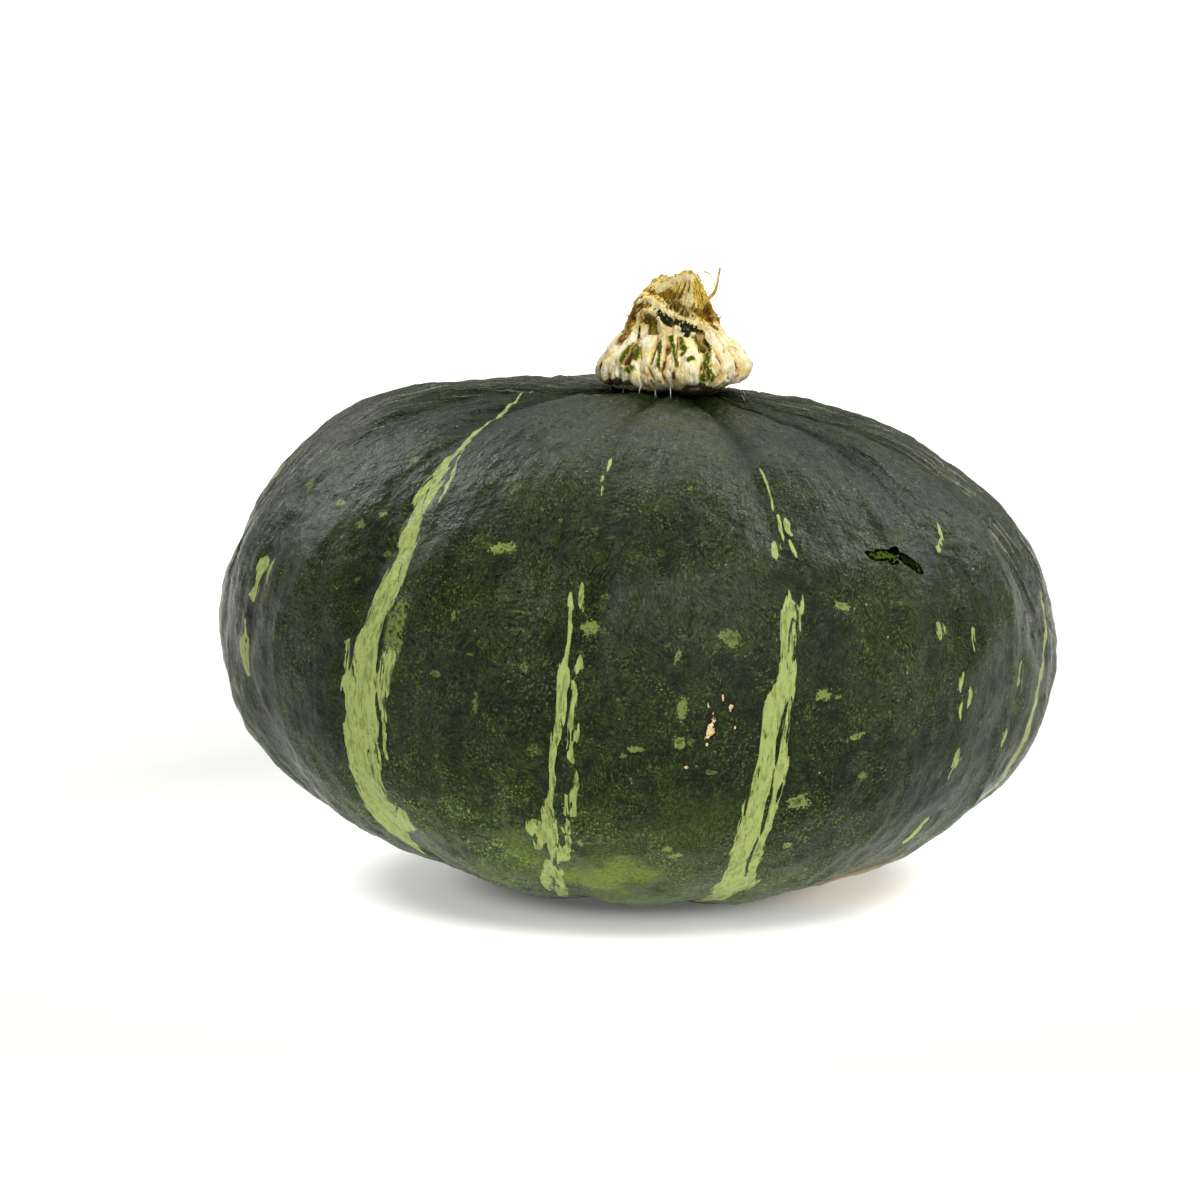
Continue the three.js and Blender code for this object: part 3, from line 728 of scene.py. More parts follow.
# Writes every marking on the skin's mesh, as attributes that its material reads.
def markSkin(mesh):
    draw = random.Random(markings["seed"])
    around = np.empty(len(mesh.vertices) * 3, dtype=np.float32)
    mesh.attributes["around"].data.foreach_get("vector", around)
    turnSine, turnCosine, rise = around.reshape(-1, 3).T
    pointLongitude, pointLatitude = np.degrees(np.arctan2(turnSine, turnCosine)), np.degrees(rise)
    loops = numbersOf(mesh.loops, "vertex_index")
    starts, sides = numbersOf(mesh.polygons, "loop_start"), numbersOf(mesh.polygons, "loop_total")
    # A triangle at a pole repeats its last corner, so that every face has four here.
    corners = starts[:, None] + np.minimum(np.arange(4)[None, :], sides[:, None] - 1)
    longitude, latitude = pointLongitude[loops[corners]], pointLatitude[loops[corners]]

    hiddenBroad, hiddenFine = hiddenStrands(draw)
    freckles = []
    for _ in range(markings["freckles"]):
        at = draw.uniform(-180, 180)
        wide = draw.uniform(*markings["freckleWidth"]) * (1.5 if draw.random() < 0.12 else 1.0)
        shown = 0.25 if abs(at) < 70 else 0.8  # fainter at the front, whose flecks are listed
        tall = wide * draw.uniform(0.5, 1.6)
        height = draw.uniform(*markings["freckleLatitude"])
        freckles.append((at, height, wide, tall, draw.uniform(-40, 40), draw.uniform(0.2, shown)))

    broad, ovals = {**broadStrands, **hiddenBroad}, flecks + freckles
    strands = {"stripe": broad, "streak": {**fineStrands, **hiddenFine}, "dull": dullStrands, "cut": cutStrands}
    layers = {name: layStrands(longitude, latitude, each, draw) for name, each in strands.items()}
    for name, each in (("fleck", ovals), ("scab", scabs), ("gash", gashes)):
        layers[name] = layOvals(longitude, latitude, each)
    for name, laid in layers.items():
        values = np.zeros((len(loops), 3), dtype=np.float32)
        values[corners.ravel()] = laid.reshape(-1, 3)
        writeAttribute(mesh, name, values, "FLOAT_VECTOR", "CORNER")
    print("markings laid:", len(broad), "broad stripes,", len(ovals), "flecks")


# Colours are linear.
skinLook = {
    "dark": (0.0052, 0.011, 0.0019),
    "middle": (0.0165, 0.029, 0.0058),
    "speck": (0.068, 0.1, 0.019),
    # wax bloom with painted sheen on it
    "bloomAndSheen": (0.06, 0.072, 0.048),
    # painted sheen lines along the ridges
    "ridge": (0.3, 0.28, 0.17),
    "pale": (0.14, 0.2, 0.011),
    "ripe": (0.5, 0.33, 0.12),
    "stripe": (0.37, 0.435, 0.135),
    "stripeShade": (0.17, 0.23, 0.05),
    "fleck": (0.21, 0.27, 0.062),
    "whiteSpeck": (0.5, 0.5, 0.38),
    "scab": (0.62, 0.42, 0.17),
    "scabPale": (0.8, 0.66, 0.4),
    "scabRim": (0.012, 0.008, 0.004),
    "gash": (0.05, 0.09, 0.01),
    "gashEdge": (0.0008, 0.0012, 0.0004),
    "fibreContrast": 5.55,
    "fineContrast": 3.2,
    "knobRelief": 0.42,
    "pebbleRelief": 0.25,
    "fineRelief": 0.17,
}

# Yellow-green glows on the front: longitude, latitude, reach in radians and strength.
glows = [(-4, -43, 0.17, 1.5), (-15, -37, 0.1, 0.6), (0, -58, 0.26, 0.6), (8, -24, 0.2, 0.1), (20, -58, 0.22, 0.35),
         (-24, -46, 0.12, 0.3), (34, -60, 0.2, 0.4)]

# Where the skin is lighter or darker over a hand's breadth: longitude, latitude and change.
lightPlaces = [(-21.77, -34.38, 1.2), (51.57, -34.38, -0.5)]

# The spot that it lay on.
ripeSpot = (71.62, -66)


def kabochaSkin():
    material, tree, shader = newMaterial("kabochaSkin", IOR=1.4)
    place = objectPlace(tree)
    around = attribute(tree, "around")
    turnSine, turnCosine, rise = separate(around)
    turn = turnSine, turnCosine
    grain = meridianPlace(*turn, rise * 8.5)
    # Short fibres whose heading wanders.
    swirl = vectorMaths("SCALE", noiseVector(place, 15.0), 24.0)
    swirled = vectorMaths("ADD", meridianPlace(*turn, rise * 75.0), swirl)
    fibre = noise(vectorMaths("MULTIPLY", swirled, (1.0, 1.0, 0.45)), 0.56, 3.0, 0.68)
    fine = noise(place, 0.42, 3.0, 0.65)
    crownShare = fade(rise, math.radians(30), math.radians(66))

    broadTone = noise(place, 24.0, 1.0, 0.55)
    blotch = noise(place, 4.2, 3.0, 0.62)
    mottle, mottleCell = cells(place, 2.6)
    colour = mixColour(skinLook["dark"], skinLook["middle"], fade(broadTone * 0.4 + blotch * 0.6, 0.42, 0.58))
    colour = mixColour(colour, skinLook["middle"], fade(mottle, 0.7, 0.2) * mottleCell * 0.7)
    cluster = fade(noise(place, 8.0, 2.0, 0.55), 0.4, 0.62)
    specks = fade(noise(place, 0.62, 3.0, 0.72), 0.52, 0.64) * (cluster * 0.85 + 0.12)
    colour = mixColour(colour, skinLook["speck"], specks)
    # A thin wax bloom with painted sheen on it, in grey patches on the upper half and in streaks that run up to the
    # crown and down the flanks.
    patches = fade(noise(shiftedBy(place, 2.0), 17.0, 2.0, 0.6), 0.5, 0.66) * fade(rise, -0.12, 0.25)
    streaks = fade(noise(grain, 1.9, 3.0, 0.7), 0.44, 0.7)
    bloomAndSheen = larger(patches * 0.1, fade(rise, 0.8, 1.3) * streaks * 0.3)
    flank = fade(turnCosine, 0.62, 0.2)
    fineStreaks = fade(noise(shiftedBy(grain, 3.0), 1.1, 3.0, 0.7), 0.58, 0.74)
    bloomAndSheen = bloomAndSheen + fineStreaks * larger(crownShare * 0.4 + 0.12, flank * 0.75)
    # Painted sheen: pale lines along the ridges at the flanks.
    lines = shiftedBy(meridianPlace(*turn, rise * 5.0), 4.0)
    ridgeSheenLines = fade(noise(lines, 1.1, 2.0, 0.6), 0.58, 0.65) * flank * fade(rise, -0.6, 0.0)
    # How deep the furrows run: painted shade darkens them, and the painted sheen is weaker there.
    valley = fade(attribute(tree, "furrow", "Fac"), 1.1, 2.3)
    colour = mixColour(colour, skinLook["bloomAndSheen"], bloomAndSheen * (1.0 - valley * 0.7))
    colour = mixColour(colour, skinLook["ridge"], ridgeSheenLines * 0.6)
    # Painted shade: the furrows are darker, more so towards the crown.
    colour = vectorMaths("SCALE", colour, 1.0 - valley * (crownShare * 0.3 + 0.2))
    colour = vectorMaths("SCALE", colour, larger((fibre - 0.5) * skinLook["fibreContrast"] + 1.0, 0.25))
    colour = vectorMaths("SCALE", colour, larger((fine - 0.5) * skinLook["fineContrast"] + 1.0, 0.22))
    # Painted bounce light: the skin is lighter towards the bottom.
    lightness = fade(rise, -0.15, -0.75) * 1.1 + 1.0  # more light comes back up from the floor
    for longitude, latitude, change in lightPlaces:
        lightness = lightness + fade(apartFrom(around, longitude, latitude), 0.55, 0.1) * change
    colour = vectorMaths("SCALE", colour, lightness)

    # Yellow-green glows low on the front, and the ripe spot that it lay on.
    wander = (noise(place, 14.0, 2.0, 0.62) - 0.5) * 0.42
    paleShare = 0.0
    for longitude, latitude, reach, strength in glows:
        apart = apartFrom(around, longitude, latitude) + wander
        paleShare = larger(fade(apart, reach * 1.25, 0.0) * strength, paleShare)
    paleShare = paleShare * (fade(noise(place, 0.7, 3.0, 0.7), 0.36, 0.62) * 0.75 + 0.25)
    colour = mixColour(colour, skinLook["pale"], paleShare)
    colour = mixColour(colour, skinLook["ripe"], fade(apartFrom(around, *ripeSpot) + wander, 0.55, 0.2) * 0.9)

    # Pale stripes, frayed along their edges and broken by dark dashes, mostly at the right.
    frayCell = cells(grain, 0.95, "CHEBYCHEV")[1]
    fray = (noise(grain, 0.8, 3.0, 0.7) - 0.5) * 2.2 + (frayCell - 0.5) * 1.7
    aside, half, cutTone = separate(attribute(tree, "cut"))
    cutShare = fade(half - absolute(aside) + fray * 0.25, 0.0, 0.16) * fade(half, 0.0, 0.12)
    dashes = noise(meridianPlace(*turn, rise * 13.0), 0.5, 2.0, 0.55)
    holesHere = fade(noise(shiftedBy(place, 5.0), 7.0, 2.0), 0.4, 0.62)
    shades = noise(meridianPlace(*turn, rise * 20.0), 0.9, 3.0, 0.65)
    covered = 0.0
    stripeTone = 0.0
    for name, jag in (("stripe", 1.0), ("streak", 1.5)):
        aside, half, tone = separate(attribute(tree, name))
        inside = half - absolute(aside)
        sharp = fade(inside + fray * smaller(larger(half, 0.2) * 0.6, 0.7) * jag, -0.07, 0.07)
        edgeShare = fade(inside, 1.9, 0.3) * (fade(aside, -0.6, 0.9) * 0.75 + 0.25)
        holes = fade(dashes, 0.64, 0.7) * (holesHere * 0.75 + 0.25) + edgeShare * holesHere * fade(dashes, 0.5, 0.57)
        sharp = sharp * (1.0 - smaller(holes, 1.0) * fade(half, 0.3, 0.9) * 0.92)
        covered = larger(sharp, covered)
        stripeTone = larger(tone * sharp, stripeTone)
    covered = covered * (1.0 - cutShare)
    stripeColour = mixColour(skinLook["stripeShade"], skinLook["stripe"], fade(shades, 0.34, 0.56) * 0.8 + 0.2)
    stripeColour = vectorMaths("SCALE", stripeColour, (fine - 0.5) * 0.5 + 1.0)
    colour = mixColour(colour, stripeColour, covered * smaller(stripeTone + 0.1, 1.0))
    aside, half, dullTone = separate(attribute(tree, "dull"))
    dullShare = fade(half - absolute(aside) + fray * 0.5, -0.3, 0.3) * fade(noise(place, 1.0, 4.0, 0.7), 0.38, 0.56)
    dullShare = dullShare * (1.0 - covered)
    colour = mixColour(colour, skinLook["fleck"], dullShare * 0.72)

    # Flecks: ragged, often hollow, and the faint ones only a cluster of specks.
    pushed = noiseVector(place, 1.3, 2.0)
    pushedU, pushedV, pushedW = separate(pushed)
    u, v, strength = separate(attribute(tree, "fleck"))
    fineU, fineV, fineW = separate(noiseVector(place, 0.5, 1.0))
    u, v = u + pushedU * 2.0 + fineU * 1.8, v + pushedV * 2.0 + fineV * 1.8
    oval = length(u, v)
    specky = fade(noise(place, 0.5, 3.0, 0.7), 0.42, 0.6)
    fleckShare = fade(oval, 1.12, 0.86) * smaller(strength + 0.05, 1.0)
    hollow = fade(oval, 0.66, 0.3) * fade(noise(shiftedBy(place, 9.0), 2.2, 1.0), 0.44, 0.54) * 0.7
    fleckShare = fleckShare * (1.0 - hollow) * mixNumber(specky, 1.0, fade(strength, 0.35, 0.95) * 0.8)
    colour = mixColour(colour, skinLook["fleck"], fleckShare)

    # Tiny white specks, alone and in clusters.
    speckNear, speckCell = cells(place, 4.6)
    whiteShare = fade(speckNear, 0.055, 0.03) * fade(speckCell, 0.7, 0.74)
    sparkNear, sparkCell = cells(shiftedBy(place, 6.0), 1.25)
    sparkHere = fade(noise(shiftedBy(place, 8.0), 9.0, 2.0, 0.6), 0.56, 0.68)
    whiteShare = larger(whiteShare, fade(sparkNear, 0.17, 0.1) * fade(sparkCell, 0.72, 0.8) * sparkHere * 0.7)
    colour = mixColour(colour, skinLook["whiteSpeck"], whiteShare * 0.7)

    # Nicks that have healed pale with a dark rim, and the fresh gash.
    u, v, strength = separate(attribute(tree, "scab"))
    nickOval, nickStrength = length(u, v), strength
    nick = nickOval + pushedW * 1.3 + fineW * 1.6
    colour = mixColour(colour, skinLook["scabRim"], fade(nick, 2.3, 1.5) * strength)
    nickShare = fade(nick, 1.08, 0.9) * strength
    scabColour = mixColour(skinLook["scab"], skinLook["scabPale"], fade(noise(place, 0.45, 2.0), 0.4, 0.58))
    colour = mixColour(colour, scabColour, nickShare)
    u, v, green = separate(attribute(tree, "gash"))
    gashOval = length(u, v)
    tear = gashOval + pushedW * 0.9 + fineW * 0.9
    gashShare = fade(tear, 1.7, 1.4)
    inner = fade(tear, 1.1, 0.8) * green * fade(noise(place, 0.8, 2.0), 0.42, 0.52)
    colour = mixColour(colour, skinLook["gashEdge"], gashShare)
    colour = mixColour(colour, skinLook["gash"], inner)

    pebble = noise(place, 1.6, 3.0, 0.62)
    creases = noise(meridianPlace(*turn, rise * 10.0), 2.0, 3.0, 0.65)
    knobs = noise(shiftedBy(place, 7.0), 3.6, 2.0, 0.6)
    relief = pebble * skinLook["pebbleRelief"] + fine * skinLook["fineRelief"]
    relief = relief + knobs * skinLook["knobRelief"]
    relief = relief + (knobs * 0.5 + pebble * 0.35) * fade(rise, 0.35, 0.9)
    relief = relief + creases * (crownShare * 0.6 + 0.2)
    relief = relief - fade(gashOval, 1.6, 1.1) * 0.9
    relief = relief + (fade(nickOval, 1.05, 0.85) * 0.2 - fade(nickOval, 1.6, 1.1) * 0.18) * nickStrength
    roughness = mixNumber(0.19, 0.3, fade(noise(place, 6.0, 3.0, 0.6), 0.3, 0.7)) + covered * 0.1 + nickShare * 0.2
    waxy = mixNumber(0.13, 0.45, fade(rise, -0.35, 0.4)) * (1.0 - larger(gashShare, valley * crownShare * 0.7))
    waxy = waxy * (1.0 - fade(absolute(turnSine), 0.75, 0.98) * 0.4)
    tree.links.new(waxy.socket, shader.inputs["Specular IOR Level"])
    wireUp(tree, shader, colour, roughness + gashShare * 0.4, relief)
    return material


# The stem stands on the crown and leans off upright.
stem = {
    "foot": (8.0375, 0.7596, 106.0478),
    "leanLeft": 2.2,
    "leanBack": 4.0,
    "topShift": 2.2,
    "shiftFrom": 6.0,  # heights between which the top's shift sets in
    "shiftTo": 22.0,
    "subdivisions": 2,
    "crackDepth": 1.1,
    "chunkHeight": 0.7,
    "fibreHeight": 0.8,
    "roughHeight": 0.55,
    "lipHeight": 2.4,
    "pocketDepth": 1.4,
    "creamHeight": 0.35,
    "rustDepth": 0.7,
    "seed": 7.0,
}
stemInputs = {"Geometry": None, **labelled(stem, ["crackDepth", "chunkHeight", "fibreHeight", "roughHeight", "seed"])}
leans = (("leanLeft", "Y"), ("leanBack", "X"))
stemLean = [Matrix.Rotation(math.radians(-stem[lean]), 3, axis) for lean, axis in leans]
stemAxes = [tuple(axis) for axis in (stemLean[0] @ stemLean[1]).transposed()]


# A place on the stem, along its own axes: how far round, how high and how far out.
def stemPlace(place):
    local = vectorMaths("SUBTRACT", place, stem["foot"])
    x, y, height = [vectorMaths("DOT_PRODUCT", local, axis) for axis in stemAxes]
    top = maths("MULTIPLY", height - stem["shiftFrom"], 1 / (stem["shiftTo"] - stem["shiftFrom"]), clamp=True)
    x = x - top * stem["topShift"]
    turn = maths("ARCTAN2", x, -y) * (180 / math.pi)
    return x, y, turn, height, length(x, y)


# The stem's relief in millimetres, and how cracked it is.
def stemRelief(place, crackDepth, chunkHeight, fibreHeight, roughHeight, seed):
    tree = treeOf([place])
    x, y, turn, height, radius = stemPlace(place)
    roundX, roundY = x / radius, y / radius
    stump = fade(height, 10.0, 14.0)
    moved = shiftedBy(place, seed)
    wander = (noise(moved, 5.0, 2.0) - 0.5) * 1.8
    columns = combine(roundX * 14.0 + wander, roundY * 14.0 + wander, height * 0.05 + seed)
    wall = cellWalls(columns, 4.0)
    opened = fade(noise(combine(roundX * 9.0, roundY * 9.0, height * 0.45 + seed), 2.2, 1.0), 0.4, 0.52)
    crack = fade(wall, 0.12, 0.0) * fade(height, 0.6, 2.6) * (1.0 - stump) * opened
    slim = fade(cellWalls(combine(roundX * 14.0 + wander, roundY * 14.0 + wander, height * 0.12), 1.25), 0.1, 0.0)
    crack = larger(crack, slim * (1.0 - opened) * (1.0 - stump) * 0.6)
    crack = larger(crack, fade(stored(tree, "crack"), -0.5, 0.6))
    plates = fade(wall, 0.0, 0.42) * (1.0 - stump) * fade(height, 1.0, 3.5)
    fibres = noise(combine(roundX * 14.0 + wander, roundY * 14.0, height * 0.2 + seed), 0.75, 3.0, 0.65)
    relief = plates * chunkHeight - crack * crackDepth
    relief = relief + (fibres - 0.5) * fibreHeight * (stump * 1.4 + 0.6)
    relief = relief + (noise(moved, 1.5, 3.0, 0.65) - 0.5) * roughHeight * (stump * 1.5 + 0.8)
    relief = relief + (noise(shiftedBy(place, seed + 3.0), 3.4, 2.0, 0.6) - 0.5) * chunkHeight * 1.8
    lip = fade(height, 4.2, 2.0)
    lobes = noise(combine(roundX * 9.0, roundY * 9.0, seed), 3.4, 2.0) - 0.42
    relief = relief + lobes * lip * stem["lipHeight"]
    relief = relief - fade(stored(tree, "pocket"), -0.1, 0.6) * stem["pocketDepth"]
    relief = relief + fade(stored(tree, "cream"), 0.0, 0.7) * stem["creamHeight"]
    rusted = fade(stored(tree, "rust"), 0.0, 0.6) * fade(noise(moved, 1.2, 2.0), 0.56, 0.42)
    relief = relief - rusted * stem["rustDepth"]
    return relief, crack


def stemTree(material):
    tree, wires, end = newTree("stemTree", stemInputs)
    geometry, *reliefInputs = wires.values()
    relief, crack = stemRelief(vectorMaths("SCALE", position(tree), 1 / millimetre), *reliefInputs)
    marked = store(tree, geometry, "crackShare", crack)
    return finishTree(tree, move(tree, marked, Offset=outward(tree, relief)), material, end)


# The strokes that colour the front of the stem: what each is, half its width in millimetres, and
# the points of the camera's frame that it runs through.
stemStrokes = [
    ("cream", 0.73, [(648.8, 298.5), (654.4, 302.7), (660.9, 306.4), (667.3, 312.0), (671.0, 314.8)]),
    ("cream", 0.50, [(671.0, 314.8), (679.4, 317.5), (688.6, 321.2), (697.9, 324.0), (707.1, 328.6), (714.5, 331.4),
         (720.1, 334.7)]),
    ("cream", 0.84, [(656.2, 289.8), (664.6, 285.2), (673.8, 280.5), (683.1, 276.8), (690.5, 277.8)]),
    ("cream", 0.56, [(635.0, 303.7), (640.5, 300.0), (646.1, 298.5)]),
    ("cream", 0.56, [(638.7, 317.5), (640.5, 312.5), (647.0, 309.6), (653.5, 312.0), (658.1, 316.6), (660.9, 324.0),
         (661.8, 331.4)]),
    ("cream", 0.78, [(683.1, 299.0), (687.7, 296.3), (690.5, 300.0), (688.6, 303.7), (684.0, 302.7)]),
    ("olive", 2.4, [(662.7, 296.3), (668.3, 300.0), (673.8, 303.7), (677.5, 307.4)]),
    ("olive", 1.01, [(673.8, 311.1), (684.9, 313.8), (692.3, 315.1)]),
    ("rust", 0.87, [(654.4, 292.6), (659.0, 294.4), (664.6, 292.9), (670.1, 293.7)]),
    ("ochre", 1.12, [(666.4, 291.1), (673.8, 289.2), (681.2, 292.9), (696.0, 294.4)]),
    ("ochre", 1.34, [(696.0, 283.3), (700.6, 290.7), (704.3, 298.1), (704.3, 305.5)]),
    ("ochre", 1.12, [(683.1, 307.4), (692.3, 309.2), (699.7, 312.9)]),
    ("rust", 1.5, [(706.2, 296.3), (708.6, 305.5), (711.2, 314.8), (713.0, 324.0)]),
    ("rust", 1.4, [(696.0, 314.8), (703.4, 317.5), (709.0, 323.1), (714.5, 326.8)]),
    ("rust", 1.74, [(640.5, 302.7), (635.9, 308.3), (631.3, 316.6), (628.5, 325.9), (626.1, 333.3), (623.9, 338.8)]),
    ("rust", 1.01, [(646.1, 303.7), (640.5, 310.1), (635.9, 318.5)]),
    ("dark", 0.57, [(659.0, 312.0), (660.9, 317.0), (664.6, 321.2), (668.3, 324.0), (672.3, 324.4)]),
    ("dark", 0.45, [(664.6, 314.8), (670.5, 319.9)]),
    ("dark", 0.71, [(677.5, 321.8), (683.1, 324.4), (688.6, 326.6), (696.0, 329.2), (701.9, 332.5), (706.2, 337.9)]),
    ("dark", 0.52, [(683.1, 329.9), (688.6, 332.5), (685.8, 336.0)]),
    ("dark", 0.32, [(639.0, 326.8), (638.7, 333.3), (637.5, 339.2)]),
    ("dark", 0.57, [(706.2, 337.9), (709.3, 344.7), (705.3, 343.4)]),
    ("moss", 1.06, [(701.2, 334.7), (703.8, 340.7), (706.2, 346.2), (706.4, 353.6), (707.1, 361.0), (707.8, 368.4),
         (709.3, 374.0), (710.8, 377.7)]),
    ("moss", 0.81, [(695.6, 337.0), (699.3, 343.4), (703.4, 348.1)]),
    ("moss", 1.22, [(705.3, 366.6), (705.3, 373.0), (703.4, 376.7)]),
    ("moss", 1.06, [(622.9, 359.5), (626.1, 354.5), (629.8, 349.0), (633.8, 344.4), (636.2, 349.9), (635.3, 355.5),
         (629.8, 357.7)]),
    ("moss", 0.90, [(626.6, 366.9), (629.0, 371.2), (630.5, 368.0)]),
    ("moss", 0.49, [(659.0, 340.3), (659.9, 348.1), (659.0, 355.5), (657.9, 362.9), (659.0, 369.3)]),
    ("moss", 0.49, [(670.5, 336.6), (672.0, 344.4), (673.8, 350.8), (675.7, 358.2), (676.6, 365.1)]),
    ("moss", 0.72, [(679.7, 338.8), (681.2, 346.2), (684.9, 350.3), (683.1, 354.5)]),
    ("moss", 0.57, [(688.6, 361.0), (691.8, 359.2)]),
    ("moss", 0.32, [(747.8, 351.4), (750.8, 358.2), (751.9, 365.1)]),
    ("pocket", 1.22, [(647.5, 319.9), (649.8, 324.4), (652.0, 329.2), (655.7, 329.2), (653.5, 323.6)]),
    ("crack", 0.24, [(642.0, 315.1), (646.4, 316.2), (650.1, 315.1), (653.8, 318.8)]),
    ("crack", 0.20, [(658.1, 335.1), (657.5, 342.5), (657.5, 353.6), (658.6, 370.3), (659.4, 383.6)]),
    ("crack", 0.20, [(647.0, 365.6), (649.8, 372.1), (653.8, 378.6)]),
    ("crack", 0.16, [(640.5, 335.1), (640.1, 346.2), (641.4, 359.2)]),
    ("crack", 0.16, [(666.4, 334.4), (669.2, 346.2), (672.0, 361.0)]),
    ("crack", 0.20, [(669.2, 368.4), (673.4, 377.7), (677.1, 383.6)]),
    ("crack", 0.16, [(609.1, 340.7), (605.4, 349.9), (603.1, 361.0), (603.9, 370.3)]),
    ("crack", 0.16, [(618.7, 331.4), (612.8, 338.4)]),
    ("crack", 0.16, [(719.1, 329.6), (725.6, 334.2), (731.2, 341.6)]),
    ("crack", 0.16, [(727.5, 346.2), (733.9, 353.6), (735.8, 362.9)]),
    ("crack", 0.16, [(740.4, 346.2), (744.5, 355.5), (743.7, 365.1)]),
    ("crack", 0.12, [(721.0, 338.8), (723.4, 349.9), (722.8, 353.6)]),
    ("crack", 0.16, [(714.5, 379.5), (718.2, 375.8), (727.5, 377.7)]),
    ("crack", 0.12, [(688.6, 337.0), (696.0, 342.5), (700.6, 353.6)]),
    ("crack", 0.36, [(721.0, 323.1), (725.6, 325.9), (731.2, 331.4)]),
    ("crack", 0.20, [(712.7, 324.0), (717.3, 328.6)]),
    # painted shade under the lip
    ("shadeUnderLip", 0.88, [(608.7, 382.5), (620.2, 380.2), (631.3, 382.8), (642.4, 388.4), (651.6, 392.8)]),
    ("shadeUnderLip", 0.56, [(662.7, 393.9), (672.0, 393.9)]),
    ("shadeUnderLip", 0.80, [(681.2, 388.8), (688.6, 384.7), (699.7, 384.0), (710.8, 386.5), (721.9, 391.7), (733.0, 389.9)]),
    ("shadeUnderLip", 0.48, [(596.1, 380.4), (603.5, 381.7)]),
]

# The front of the broken rim: how far along the stem's x axis, and how high.
rimLine = [
    (-4.4, 21.0), (-3.1, 19.4), (-1.2, 17.8), (0.7, 17.0), (2.9, 16.2), (5.1, 15.1), (7.0, 13.8), (8.4, 12.8),
    (10.0, 12.4),
]


# Breaks the rim down to its line at the front, and lays each kind of stroke as an attribute.
def paintStem(mesh):
    def ramp(value, low, high):
        return np.clip((value - low) / (high - low), 0, 1)

    places = placesOf(mesh)
    x, y, height = ((places / millimetre - np.array(stem["foot"])) @ np.array(stemAxes).T).T
    aside = x - ramp(height, stem["shiftFrom"], stem["shiftTo"]) * stem["topShift"]
    front = ramp(y, -1.5, -4.5) * ramp(aside, -4.4, -3.2)
    broken = np.maximum(front, ramp(aside, 6, 7.5) * ramp(y, 6, 4))
    rim = np.interp(aside, *zip(*rimLine))
    drop = np.maximum(height - rim, 0) * 0.8 * broken - np.maximum(height - 15, 0) * 0.2 * (1 - broken)
    places -= np.outer(drop * millimetre, stemAxes[2])
    mesh.vertices.foreach_set("co", places.ravel())
    mesh.update()

    surface = surfaceOf(mesh)
    shares = {}
    for kind, half, points in stemStrokes:
        hits = [seenOn(surface, column, row) for column, row in points]
        path = [np.array(hit) for hit in hits if hit]
        share = shares.setdefault(kind, np.full(len(places), -3.0))
        for start, end in zip(path, path[1:]):
            along = end - start
            reach = np.clip((places - start) @ along / max(along @ along, 1e-12), 0, 1)
            gap = np.linalg.norm(places - start - np.outer(reach, along), axis=1) / millimetre
            np.maximum(share, 1 - gap / half, out=share)
    for kind, share in shares.items():
        writeAttribute(mesh, kind, share)
    return mesh


stemLook = {
    "cream": (0.97, 0.8, 0.36),
    "white": (1.0, 0.95, 0.7),
    "tan": (0.72, 0.47, 0.16),
    "brown": (0.075, 0.033, 0.008),
    "deepBrown": (0.02, 0.01, 0.004),
    "straw": (0.95, 0.72, 0.15),
    "ochre": (0.58, 0.36, 0.035),
    "olive": (0.17, 0.135, 0.008),
    "rust": (0.38, 0.2, 0.012),
    "pocket": (0.3, 0.24, 0.012),
    "moss": (0.06, 0.09, 0.002),
    "mossLight": (0.36, 0.4, 0.02),
    "darkGreen": (0.009, 0.018, 0.006),
    "band": (0.88, 0.76, 0.36),
}

# Green patches round the back: turn, height, half width and half height.
greenPatches = [(150, 6.0, 1.6, 3.0), (-120, 7.5, 1.2, 3.4), (95, 8.5, 1.0, 2.4), (-165, 9.0, 1.4, 2.0)]


